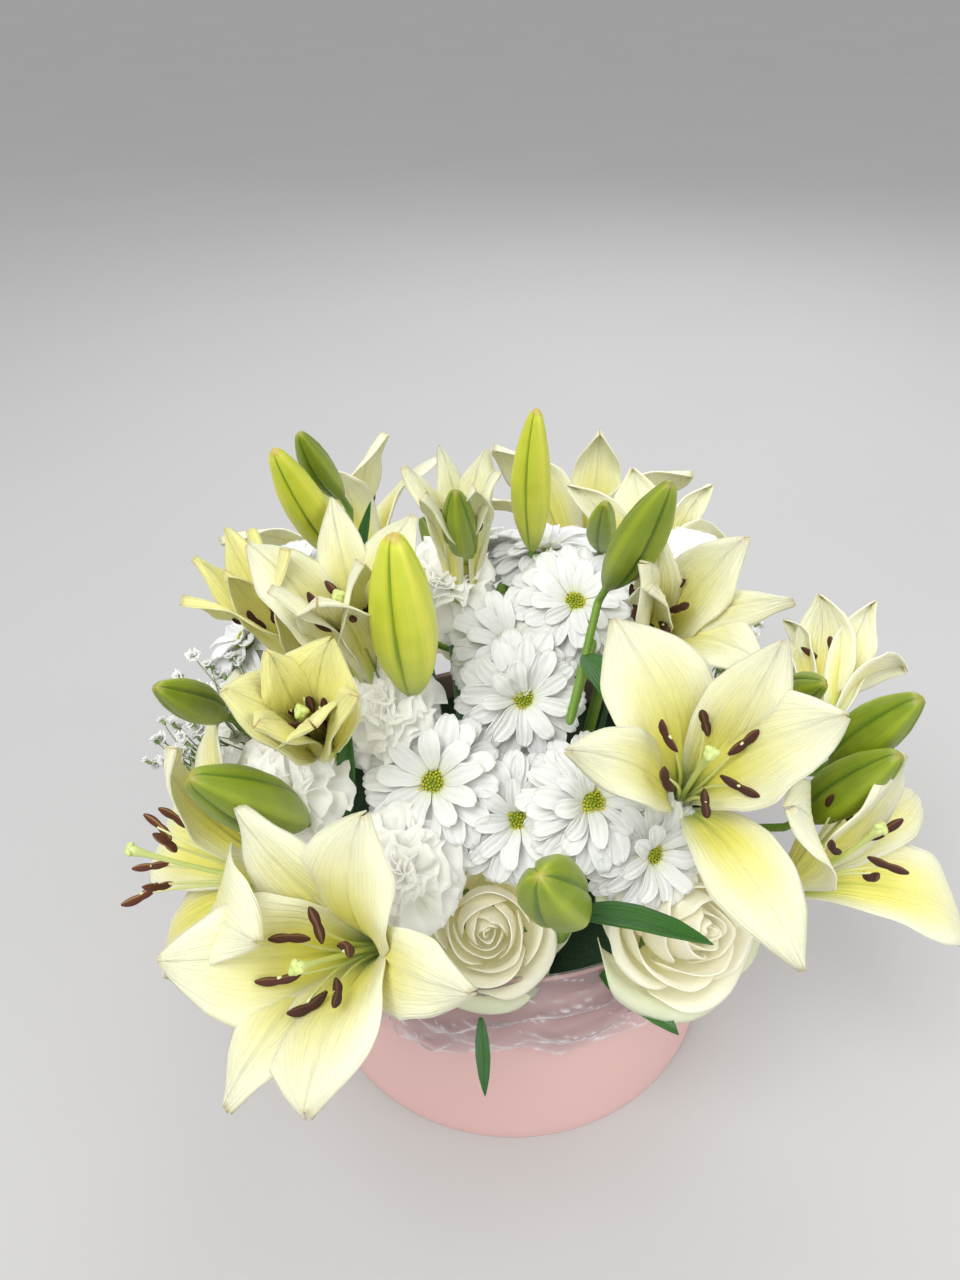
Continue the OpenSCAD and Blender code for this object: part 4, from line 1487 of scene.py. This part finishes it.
@dataclass
class Chrysanthemums:
    """Rays and discs of all the chrysanthemums.

    Each ring of rays has a count, a rise in degrees and a reach as a share of the radius.
    """

    sowing: Sowing
    rings: tuple[tuple[int, float, float], ...] = (
        (14, -9, 1.04), (14, 3, 1.0), (13, 15, 0.93), (9, 30, 0.76))
    florets: int = 90
    groups: tuple[str, ...] = ("front", "middle", "back")
    heads: list[DaisyHead] = field(default_factory=list)

    def measure(self) -> None:
        """Finds each disc's centre, axis and radius."""
        for points in loose_parts("daisy_discs"):
            centred = points - points.mean(axis=0)
            spread, ways = np.linalg.svd(centred, full_matrices=False)[1:]
            odd = 0 if spread[0] - spread[1] > spread[1] - spread[2] else 2
            middle = points.mean(axis=0)
            axis, _, high = upright(points, middle, ways[odd], 1, True)
            top = middle + axis * high
            off = points - top - np.outer((points - top) @ axis, axis)
            self.heads.append(DaisyHead(top - axis * DaisyHead.RISE, axes_about(axis),
                                        float(np.linalg.norm(off, axis=1).max())))

    def ray_shape(self, seed: int) -> bpy.types.Object:
        """One ray for a head of radius one, pointing along x.

        Args:
            seed: The seed of its twist.

        Returns:
            The shape to sow.
        """
        chance = np.random.default_rng(seed)
        x = np.linspace(0.19, 1, 13)[:, None]
        s = np.linspace(-1, 1, 9)[None, :]
        half = 0.175 * np.interp(x, [0.19, 0.28, 0.45, 0.7, 0.86, 0.95, 1.0],
                                 [0.26, 0.5, 0.82, 1.0, 0.94, 0.72, 0.34])
        notch = 0.018 * np.exp(-(s / 0.35) ** 2) * soft(x, 0.9, 1)
        z = 0.16 * (x - 0.12) * (1.05 - x) - 0.10 * soft(x, 0.55, 1) ** 2
        z = z + half * (0.30 * s ** 2 - 0.16 * np.cos(s * 8.2)) + 0.02 * chance.normal() * s * x
        growth = Growth()
        growth.sheet(np.stack([(x - notch) * np.ones_like(s), half * s, z], -1))
        return growth.shape(f"ray_shape_{seed}")

    def build_rays(self, finish: bpy.types.Material) -> None:
        """Makes the rays, one piece for each CAD node.

        Args:
            finish: Their material.
        """
        clouds = {g: vertices_of(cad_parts[f"daisy_rays_{g}"].data) for g in self.groups}
        nearest = [min(self.groups, key=lambda g: float(
            np.linalg.norm(clouds[g] - head.centre, axis=1).min())) for head in self.heads]
        for group in self.groups:
            mine = [head for head, g in zip(self.heads, nearest) if g == group]
            pieces = []
            for variant in range(VARIANTS):
                shape = self.ray_shape(variant)
                places = [place for number, head in enumerate(mine)
                          for place in self._ray_places(head, variant, number)]
                pieces.append(self.sowing.sow(
                    f"rays_{group}_{variant}", places, shape, finish, 0.05, 5 * MM, 55.0,
                    11 + variant))
                bpy.data.objects.remove(shape)
            made = joined(f"daisy_ray_set_{group}", pieces)
            settle(thicken(made, 0.35 * MM), "daisy_white", f"daisy_rays_{group}")

    def _ray_places(self, head: DaisyHead, variant: int, number: int) -> list[Place]:
        """The places of every third ray of one head, from a given one.

        Args:
            head: The head.
            variant: Which third.
            number: The head's number in its group.

        Returns:
            Where the rays stand.
        """
        chance = np.random.default_rng(300 + 10 * variant + number)
        places = []
        for level, (count, rise, reach) in enumerate(self.rings):
            for k in range(count):
                if (k + level) % VARIANTS != variant:
                    continue
                turn = TURN * (k + 0.5 * level) / count + chance.normal(0, 0.07)
                tilt = math.radians(rise + chance.normal(0, 5))
                way = np.array([math.cos(turn), math.sin(turn), 0.0])
                x = way * math.cos(tilt) + np.array([0, 0, math.sin(tilt)])
                y = np.array([-math.sin(turn), math.cos(turn), 0.0])
                spin = chance.normal(0, 0.18)
                z = np.cross(x, y)
                local = np.column_stack([x, y * math.cos(spin) + z * math.sin(spin),
                                         z * math.cos(spin) - y * math.sin(spin)])
                lift = (level - 1.5) * MM
                places.append(Place(head.centre + head.axes[:, 2] * lift, head.axes @ local,
                                    head.radius * reach, float(chance.uniform(0, 0.5))))
        return places

    def build_discs(self, finish: bpy.types.Material) -> bpy.types.Object:
        """Makes the discs: a dome with florets on a spiral.

        Args:
            finish: Their material.

        Returns:
            The finished piece.
        """
        growth = Growth()
        m = np.linspace(-0.5, 0.9, 5)[:, None]
        growth.tube(np.hstack([m * 0, m * 0, m]), np.array([0.3, 0.9, 1.0, 0.8, 0.3]), 6)
        shape = growth.shape("disc_floret_shape")
        places, domes = [], Growth()
        for head in self.heads:
            r, axis = head.disc, head.axes[:, 2]
            for k in range(self.florets):
                share = math.sqrt((k + 0.5) / self.florets)
                turn = k * GOLDEN_ANGLE
                flat = head.axes[:, 0] * math.cos(turn) + head.axes[:, 1] * math.sin(turn)
                height = (4.6 + 1.5 * math.cos(share * 2.2)
                          - 0.9 * math.exp(-(share / 0.3) ** 2)) * MM
                up = unit(axis + flat * share * 0.8)
                places.append(Place(head.centre + flat * r * share * 1.06 + axis * height,
                                    axes_about(up), r * 0.09,
                                    float(np.clip(0.15 + share * 0.9, 0, 1))))
            k = np.linspace(0, 1, 7)
            domes.tube(head.centre + np.outer((-3 + 7.3 * k) * MM, axis),
                       r * np.array([0.5, 0.7, 0.9, 0.98, 0.95, 0.8, 0.4]), 20, tone=0.1)
        made = joined("daisy_disc_set", [
            domes.piece("domes", [finish]),
            self.sowing.sow("disc_florets", places, shape, finish, 0.15, seed=5)])
        bpy.data.objects.remove(shape)
        return settle(made, "daisy_green", "daisy_discs")


# ---------------------------------------------------------------- carnations


@dataclass
class Carnations:
    """The ruffled heads of the carnations.

    Each ring of petals has a count, a rise in degrees, a reach as a share of the radius and a lift
    in millimetres.
    """

    sowing: Sowing
    reach: float = 30 * MM
    spread: float = 1.08
    calyx_rim: float = 10.5 * MM
    rings: tuple[tuple[int, float, float, float], ...] = (
        (7, 2, 1.0, 0.0), (7, 20, 1.0, 1.2), (7, 38, 0.95, 2.4), (6, 54, 0.88, 3.4),
        (6, 68, 0.78, 4.2), (5, 80, 0.66, 5.0))

    def build(self, finish: bpy.types.Material) -> bpy.types.Object:
        """Makes all the heads on the calyxes that the CAD has.

        Args:
            finish: Their material.

        Returns:
            The finished piece.
        """
        pieces = []
        heads = [self._head(points) for points in loose_parts("carnation_stems")]
        petals = np.concatenate(loose_parts("carnation_petals"))
        for variant in range(VARIANTS):
            shape = self._petal_shape(variant)
            places = []
            for number, (centre, axis) in enumerate(heads):
                away = np.linalg.norm(petals - centre, axis=1)
                size = float(np.quantile(away[away < self.reach], 0.98)) * self.spread
                places += self._places(centre, axes_about(axis), size, variant, number)
            pieces.append(self.sowing.sow(f"carnation_ruffles_{variant}", places, shape, finish,
                                          0.08, 7 * MM, 70.0, 30 + variant))
            bpy.data.objects.remove(shape)
        return settle(thicken(joined("carnation_flowers", pieces), 0.3 * MM), "carnation_white",
                      "carnation_petals")

    def _head(self, points: np.ndarray) -> tuple[np.ndarray, np.ndarray]:
        """A head's centre and axis, from the rim of its calyx.

        Args:
            points: The points of its stem and calyx.

        Returns:
            The centre and the unit axis.
        """
        foot = points[points[:, 2].argmin()]
        away = np.linalg.norm(points - foot, axis=1)
        near = np.linalg.norm(points - points[away.argmax()], axis=1) < self.calyx_rim
        rim = points[near]
        axis = np.linalg.svd(rim - rim.mean(axis=0), full_matrices=False)[2][2]
        if axis @ (rim.mean(axis=0) - foot) < 0:
            axis = -axis
        return rim.mean(axis=0) + axis * 2 * MM, axis

    @staticmethod
    def _petal_shape(seed: int) -> bpy.types.Object:
        """A fan with a ruffled, toothed rim, for a head of radius one.

        Args:
            seed: The seed of its ruffles.

        Returns:
            The shape to sow.
        """
        chance = np.random.default_rng(60 + seed)
        s = np.linspace(-1, 1, 19)[None, :]
        v = np.linspace(0, 1, 8)[:, None]
        rim = 1 - 0.07 * np.abs(triangle(s * 4.5)) - 0.10 * s ** 2
        x = 0.05 + v * (rim - 0.05)
        half = 0.03 + 0.56 * v ** 1.15
        ruffle = v ** 2.2 * (0.075 * np.sin(s * 6 + chance.uniform(0, 6))
                             + 0.03 * np.sin(s * 13 + chance.uniform(0, 6)))
        z = ruffle + 0.14 * v * (1 - v) + 0.05 * s ** 2 - 0.05 * v ** 3
        growth = Growth()
        growth.sheet(np.stack([x, half * s, z], -1))
        return growth.shape(f"ruffle_shape_{seed}")

    def _places(self, centre: np.ndarray, axes: np.ndarray, size: float, variant: int,
                number: int) -> list[Place]:
        """The places of every third petal of one head.

        Args:
            centre: The head's middle.
            axes: Its axes, the last upwards.
            size: Its radius.
            variant: Which third.
            number: The head's number.

        Returns:
            Where the petals stand.
        """
        chance = np.random.default_rng(500 + 10 * variant + number)
        places = []
        for level, (count, rise, reach, lift) in enumerate(self.rings):
            for k in range(count):
                if (k + level) % VARIANTS != variant:
                    continue
                turn = TURN * (k + 0.4 * level) / count + chance.normal(0, 0.15)
                tilt = math.radians(rise + chance.normal(0, 7))
                x = np.array([math.cos(turn) * math.cos(tilt), math.sin(turn) * math.cos(tilt),
                              math.sin(tilt)])
                y = np.array([-math.sin(turn), math.cos(turn), 0.0])
                places.append(Place(centre + axes[:, 2] * lift * MM,
                                    axes @ np.column_stack([x, y, np.cross(x, y)]),
                                    size * reach, float(chance.uniform(0, 0.5))))
        return places


# ---------------------------------------------------------------- gypsophila


@dataclass
class Gypsophila:
    """Sprays of tiny flowers on threads."""

    sowing: Sowing
    floret: float = 3.1 * MM
    companions: int = 3
    straying: float = 5.2 * MM
    ball_reach: float = 5.3 * MM
    least_points: int = 6

    def build(self, petal: bpy.types.Material, thread: bpy.types.Material) -> bpy.types.Object:
        """Makes all the sprays as one piece.

        Args:
            petal: The flowers' material.
            thread: The threads' and cups' material.

        Returns:
            The finished piece.
        """
        chance = np.random.default_rng(71)
        threads, flowers, cups = Growth(), [], []
        for points in loose_parts("gypsophila"):
            centres = self._florets(points)
            foot = points[points[:, 2].argmin()]
            crown = np.mean(centres, axis=0)
            root = self._root(points, centres, crown, foot)
            self._strand(threads, foot, root, MM, chance, 0.0)
            for centre in centres:
                self._strand(threads, root, centre, 0.4 * MM, chance, 0.12)
                fork = centre + (root - centre) * 0.38
                ends = [centre] + [centre + chance.normal(0, self.straying, 3)
                                   for _ in range(self.companions)]
                for end in ends:
                    up = unit(unit(end - fork) + 0.4 * chance.normal(size=3))
                    if end is not centre:
                        self._strand(threads, fork, end, 0.3 * MM, chance, 0.1)
                    flowers.append(Place(end, axes_about(up), self.floret, 0.2))
                    cups.append(Place(end - up * MM, axes_about(up), MM, 0.2))
        flower = self._floret_shape()
        cup = Growth()
        m = np.linspace(-1.6, 0.9, 5)[:, None]
        cup.tube(np.hstack([m * 0, m * 0, m]), np.array([0.3, 0.8, 1.05, 1.0, 0.7]), 6)
        cup_shape = cup.shape("cup_shape")
        sow = self.sowing.sow
        made = joined("gypsophila_sprays", [
            threads.piece("threads", [thread]),
            thicken_applied(sow("tiny_flowers", flowers, flower, petal, 0.25, seed=3), 0.15 * MM),
            sow("tiny_cups", cups, cup_shape, thread, 0.1, seed=4)])
        bpy.data.objects.remove(flower)
        bpy.data.objects.remove(cup_shape)
        return settle(made, "gypsophila_white", "gypsophila")

    def _florets(self, points: np.ndarray) -> list[np.ndarray]:
        """The middles of the CAD's small balls in one spray.

        Args:
            points: The spray's points.

        Returns:
            One middle for each ball found.
        """
        centres, left = [], points
        while len(left):
            tree = kdtree.KDTree(len(left))
            for index, point in enumerate(left):
                tree.insert(Vector(point), index)
            tree.balance()
            counts = [len(tree.find_range(Vector(point), 2.6 * MM)) for point in left]
            best = int(np.argmax(counts))
            if counts[best] < self.least_points:
                break
            near = [index for _, index, _ in tree.find_range(Vector(left[best]), self.ball_reach)]
            ball = left[near]
            centres.append((ball.max(axis=0) + ball.min(axis=0)) / 2)
            left = np.delete(left, near, axis=0)
        return centres

    @staticmethod
    def _root(points: np.ndarray, centres: list[np.ndarray], crown: np.ndarray,
              foot: np.ndarray) -> np.ndarray:
        """The point where a spray's threads part.

        Args:
            points: The spray's points.
            centres: The middles of its balls.
            crown: The mean of those.
            foot: Its lowest point.

        Returns:
            The point.
        """
        clear = np.min([np.linalg.norm(points - centre, axis=1) for centre in centres], axis=0)
        rest = points[(clear > 5.5 * MM) & (np.linalg.norm(points - foot, axis=1) > 12 * MM)]
        if not len(rest):
            return crown + (foot - crown) * 0.2
        return rest[np.linalg.norm(rest - crown, axis=1).argmin()]

    @staticmethod
    def _strand(growth: Growth, start: np.ndarray, end: np.ndarray, radius: float,
                chance: np.random.Generator, sway: float) -> None:
        """Adds one slightly bent thread.

        Args:
            growth: What it is added to.
            start: Its lower end.
            end: Its upper end.
            radius: Its radius at the start.
            chance: The seeded chances.
            sway: How far it bends, as a share of its length.
        """
        k = np.linspace(0, 1, 7)[:, None]
        bend = chance.normal(size=3) * sway * float(np.linalg.norm(end - start))
        growth.tube(start + (end - start) * k + bend * np.sin(math.pi * k) * 0.5,
                    np.full(7, radius) * np.linspace(1, 0.75, 7), 5)

    @staticmethod
    def _floret_shape() -> bpy.types.Object:
        """One tiny flower of radius one: two layers of notched petals.

        Returns:
            The shape to sow.
        """
        growth, chance = Growth(), np.random.default_rng(9)
        for layer, (count, tilt, reach) in enumerate(((5, 15, 1.0), (5, 48, 0.75))):
            for k in range(count):
                turn = TURN * (k + 0.5 * layer) / count + chance.normal(0, 0.1)
                lean = math.radians(tilt + chance.normal(0, 8))
                x = np.array([0.1, 0.6, 1.0])[:, None] * reach
                s = np.array([-1, 0, 1])[None, :]
                half = np.array([0.12, 0.42, 0.5])[:, None] * reach
                out = x - np.array([0, 0, 0.14])[:, None] * (s == 0)
                z = out * math.sin(lean) + 0.12 * np.abs(s) * x
                out = out * math.cos(lean)
                y = half * s
                growth.sheet(np.stack([out * math.cos(turn) - y * math.sin(turn),
                                       out * math.sin(turn) + y * math.cos(turn),
                                       z * np.ones_like(y)], -1))
        return growth.shape("tiny_flower_shape")


# ---------------------------------------------------------------- box


@dataclass
class BoardBox:
    """The round board box, its foam and the film that lines it.

    Each set of the film's folds has a count round the box, how many folds it drifts over the drop
    and where it starts.
    """

    segments: int = 192
    edge: float = 0.9 * MM
    film_angles: int = 640
    film_down: int = 44
    film_gap: float = 0.35 * MM
    film_knots: int = 30
    lining_folds: int = 16
    film_folds: tuple[tuple[float, float, float], ...] = (
        (11, 1.9, 0.4), (19, -2.3, 1.1), (7, 2.9, 2.0))

    def __post_init__(self) -> None:
        """Reads the sizes of the wall and the liner."""
        low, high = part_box("box_wall")
        self.outer = (high[0] - low[0]) / 2
        self.height = high[2]
        inner = vertices_of(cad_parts["box_wall"].data)
        self.inner = float(np.hypot(inner[:, 0], inner[:, 1]).min())
        film_low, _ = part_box("liner_film")
        points = vertices_of(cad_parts["liner_film"].data)
        outside = points[np.hypot(points[:, 0], points[:, 1]) > self.outer]
        self.fold = self.height - float(outside[:, 2].min())
        self.film_foot = film_low[2]

    def build_wall(self, finish: bpy.types.Material) -> bpy.types.Object:
        """Makes the board wall with softly rounded edges.

        Args:
            finish: Its material.

        Returns:
            The finished piece.
        """
        e, turns = self.edge, np.linspace(0, TURN, self.segments, endpoint=False)
        arc = np.linspace(0, math.pi / 2, 5)
        outline = [(self.inner, e)]
        outline += [(self.inner + e - e * math.cos(a), e - e * math.sin(a)) for a in arc[1:]]
        outline += [(self.outer - e + e * math.sin(a), e - e * math.cos(a)) for a in arc]
        heights = np.linspace(e, self.height - e, 20)[1:-1]
        outline += [(self.outer, h) for h in heights]
        outline += [(self.outer - e + e * math.cos(a), self.height - e + e * math.sin(a))
                    for a in arc]
        outline += [(self.inner + e - e * math.sin(a), self.height - e + e * math.cos(a))
                    for a in arc]
        outline += [(self.inner, h) for h in heights[::-1]]
        outline.append(outline[0])
        section = np.array(outline)
        grid = np.stack([np.outer(section[:, 0], np.cos(turns)),
                         np.outer(section[:, 0], np.sin(turns)),
                         np.repeat(section[:, 1:], self.segments, axis=1)], -1)
        growth = Growth()
        growth.sheet(grid, closed=True)
        return settle(growth.piece("box_board_wall", [finish]), "board_pink", "box_wall")

    def build_film(self, finish: bpy.types.Material, wall: bpy.types.Object) -> bpy.types.Object:
        """Makes the clear film: up the inside, over the rim and down outside in creased folds.

        Args:
            finish: The film's material.
            wall: The board wall that it hangs on; not used.

        Returns:
            The finished piece.
        """
        chance = np.random.default_rng(21)
        a = np.linspace(0, TURN, self.film_angles, endpoint=False)
        knots = np.sort(chance.uniform(0, TURN, self.film_knots))
        drops = chance.uniform(0.62, 1.0, self.film_knots) * self.fold
        drop = np.interp(a, knots, drops, period=TURN)
        warp = (a + 0.06 * np.sin(3 * a + 1) + 0.04 * np.sin(7 * a)) / TURN
        rows, creases = [], []
        for z in np.linspace(self.film_foot, self.height - 2 * MM, 12):
            k = (z - self.film_foot) / self.height
            folds = warp * self.lining_folds + 2 * k
            off = (0.35 + 0.3 * triangle(folds) * (0.4 + 0.6 * k)) * MM
            rows.append((self.inner - self.film_gap - off, np.full_like(a, z)))
            creases.append(self._crease(folds) * 0.5)
        mid = (self.inner + self.outer) / 2
        half = (self.outer - self.inner) / 2 + self.film_gap
        for angle in np.linspace(math.pi, 0, 7)[1:-1]:
            rows.append((mid + half * math.cos(angle) + np.zeros_like(a),
                         self.height + (0.5 * MM + half * 0.45) * math.sin(angle) + 0 * a))
            creases.append(self._crease(warp * self.lining_folds + 2) * 0.4)
        for step in range(self.film_down):
            k = step / (self.film_down - 1)
            waves = [pace * warp + rise * k + start for pace, rise, start in self.film_folds]
            first, second, third = (triangle(wave) for wave in waves)
            out = 2.0 * (1 + first) + 1.2 * (1 + second) + 1.6 * (1 + third)
            out = out * soft(k, 0, 0.3) * MM
            rows.append((self.outer + self.film_gap + out, self.height - MM - drop * k))
            marks = [self._crease(wave) for wave in waves]
            creases.append(np.maximum(marks[0] * soft(second, -0.3, 0.5),
                                      np.maximum(marks[1] * soft(third, -0.2, 0.6),
                                                 marks[2] * soft(first, -0.5, 0.3)))
                           + (0.4 if k > 0.97 else 0.0))
        grid = np.array([np.stack([r * np.cos(a), r * np.sin(a), z], -1) for r, z in rows])
        growth = Growth()
        # The crease marks whiten the film along its folds and its lower edge: partly the whitening
        # of creased film, partly painted glints.
        growth.sheet(grid, closed=True, crease=np.clip(np.array(creases), 0, 1))
        made = settle(growth.piece("film_liner_folded", [finish]), "film_clear", "liner_film")
        return made

    @staticmethod
    def _crease(x: np.ndarray) -> np.ndarray:
        """One at the peaks of the triangle wave at x, and nought away from them."""
        return soft(np.abs(triangle(x)), 0.90, 0.99)

    @staticmethod
    def dress(board: bpy.types.Material, foam: bpy.types.Material) -> None:
        """Gives the CAD's base and foam their materials.

        Args:
            board: The base's material.
            foam: The foam's material.
        """
        for name, material in (("box_base", board), ("floral_foam", foam)):
            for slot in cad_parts[name].material_slots:
                slot.material = material


# ---------------------------------------------------------------- studio


@dataclass
class Studio:
    """The floor, the lights and the camera; angles in degrees, the rest in metres."""

    lens: float = 27.03
    spot: tuple[float, float, float] = (0.0, -0.36225, 0.5029)
    down: float = 36.2
    turn: float = -2.27
    roll: float = -1.23
    surround: float = 0.64
    floor_half: float = 20.0

    def build_camera(self) -> None:
        """Puts the camera where the box is seen from above its front."""
        down, turn, roll = (math.radians(v) for v in (self.down, self.turn, self.roll))
        look = np.array([math.sin(turn) * math.cos(down), math.cos(turn) * math.cos(down),
                         -math.sin(down)])
        right = np.array([math.cos(turn), -math.sin(turn), 0.0])
        up = np.cross(right, look)
        right, up = (math.cos(roll) * right + math.sin(roll) * up,
                     math.cos(roll) * up - math.sin(roll) * right)
        data = bpy.data.cameras.new("studio_camera")
        data.lens, data.sensor_width, data.sensor_fit = self.lens, 36.0, "AUTO"
        data.clip_start, data.clip_end = 0.01, 100.0
        camera = added("studio_camera", data)
        place = Matrix(np.column_stack([right, up, -look]).tolist()).to_4x4()
        place.translation = Vector(self.spot)
        camera.matrix_world = place
        bpy.context.scene.camera = camera

    def build_lights(self) -> None:
        """Adds large soft lights and an even surround."""
        for name, at, size, power in (("key", (-0.5, -0.9, 1.7), 1.1, 24.0),
                                      ("fill", (1.3, -0.7, 1.0), 1.2, 7.0),
                                      ("back", (0.3, 1.3, 1.3), 1.0, 9.0)):
            data = bpy.data.lights.new(name, "AREA")
            data.shape, data.size, data.energy = "DISK", size, power
            light = added(name, data)
            light.location = at
            light.rotation_euler = (Vector((0, 0, 0.2)) - Vector(at)).to_track_quat(
                "-Z", "Y").to_euler()
        world = bpy.data.worlds.new("studio")
        world.use_nodes = True
        surround = world.node_tree.nodes["Background"].inputs
        surround["Color"].default_value = (0.97, 0.98, 1.0, 1)
        surround["Strength"].default_value = self.surround
        bpy.context.scene.world = world
        bpy.context.scene.view_settings.view_transform = "Standard"

    def build_floor(self) -> None:
        """Adds a plain pale floor."""
        p = Paint("plain_floor")
        shade = p.noise(3.0, 2.0)
        colour = p.mix((0.50, 0.495, 0.49), (0.53, 0.525, 0.52), shade)
        material = p.show(p.surface(Base_Color=colour, Roughness=0.8))
        mesh = bpy.data.meshes.new("floor")
        s = self.floor_half
        mesh.from_pydata([(-s, -s, 0), (s, -s, 0), (s, s, 0), (-s, s, 0)], [], [(0, 1, 2, 3)])
        mesh.materials.append(material)
        added("floor", mesh)


# ---------------------------------------------------------------- making


def main() -> None:
    """Builds every piece in order."""
    logging.basicConfig(level=logging.INFO, format="%(name)s: %(message)s")
    studio = Studio()
    studio.build_camera()
    studio.build_lights()
    studio.build_floor()

    board, film = BoardFinish().make(), FilmFinish().make()
    box = BoardBox()
    box.dress(board, FoamFinish().make())
    box.build_film(film, box.build_wall(board))

    tepal, anther = TepalFinish().make(), AntherFinish().make()
    thread = ThreadFinish("filament", (0.62, 0.70, 0.20), (0.78, 0.80, 0.42)).make()
    pistil = ThreadFinish("pistil", (0.52, 0.62, 0.16), (0.66, 0.74, 0.30)).make()
    frames = LilyFrames()
    blooms = [frames.bloom(number) for number in range(1, 14)]
    slim = {4: 0.85, 5: 0.62, 6: 0.58, 7: 0.8, 8: 0.72, 11: 0.9}
    for bloom in blooms:
        width = slim.get(bloom.number, 1.0)
        lily = OpenLily(bloom, 0.44 * width, 0.30 * width,
                        ripe=0.85 if bloom.number in (3, 5) else 0.2)
        lily.build_tepals(tepal)
        lily.build_stamens(anther, thread, 0.75 if bloom.number == 2 else 0.25)
    Pistils.build(blooms, pistil)

    bud = BudFinish().make()
    green = StemFinish("lily_stem", (0.12, 0.24, 0.025), (0.26, 0.42, 0.06)).make()
    for letter in "abcdefg":
        BudGroup(letter).build(bud)
        StemCopy.LILY.build(f"lily_stem_{letter}", f"lily_stalk_{letter}", "lily_stem_green", green)
    Leaves().build(LeafFinish().make())

    rose = PetalFinish("rose_petal", (0.92, 0.89, 0.68), (0.88, 0.84, 0.40), (0.74, 0.78, 0.50),
                       14.0, 0.6, 0.4, 0.07).make()
    for number in range(1, 5):
        Rose(number).build(rose)
    StemCopy.ROSE.build("rose_stems", "rose_stalks", "rose_green",
                        StemFinish("rose_stem", (0.08, 0.17, 0.04), (0.20, 0.33, 0.09)).make())

    sowing = Sowing()
    white = PetalFinish("daisy_ray", (0.91, 0.915, 0.89), (0.82, 0.86, 0.62), (0.91, 0.915, 0.89),
                        9.0, 0.35, 0.3, 0.02).make()
    daisies = Chrysanthemums(sowing)
    daisies.measure()
    daisies.build_rays(white)
    daisies.build_discs(DiscFinish().make())
    StemCopy.DAISY.build("daisy_stems", "daisy_stalks", "daisy_stem_green",
                         StemFinish("daisy_stem", (0.10, 0.20, 0.05), (0.22, 0.36, 0.10)).make())

    ruffle = PetalFinish("carnation_petal", (0.94, 0.93, 0.87), (0.90, 0.90, 0.68),
                         (0.95, 0.94, 0.88), 12.0, 0.5, 0.4, 0.08).make()
    Carnations(sowing).build(ruffle)
    StemCopy.CARNATION.build("carnation_stems", "carnation_stalks", "carnation_green",
                             StemFinish("carnation_stem", (0.10, 0.24, 0.13),
                                        (0.26, 0.42, 0.28)).make())
    tiny = PetalFinish("gypsophila_petal", (0.91, 0.91, 0.88), (0.80, 0.85, 0.66),
                       (0.92, 0.92, 0.9), 6.0, 0.3, 0.2).make()
    Gypsophila(sowing).build(tiny, ThreadFinish("gypsophila_thread", (0.16, 0.27, 0.08),
                                                (0.26, 0.38, 0.13), 0.5).make())


if __name__ == "__main__":
    main()
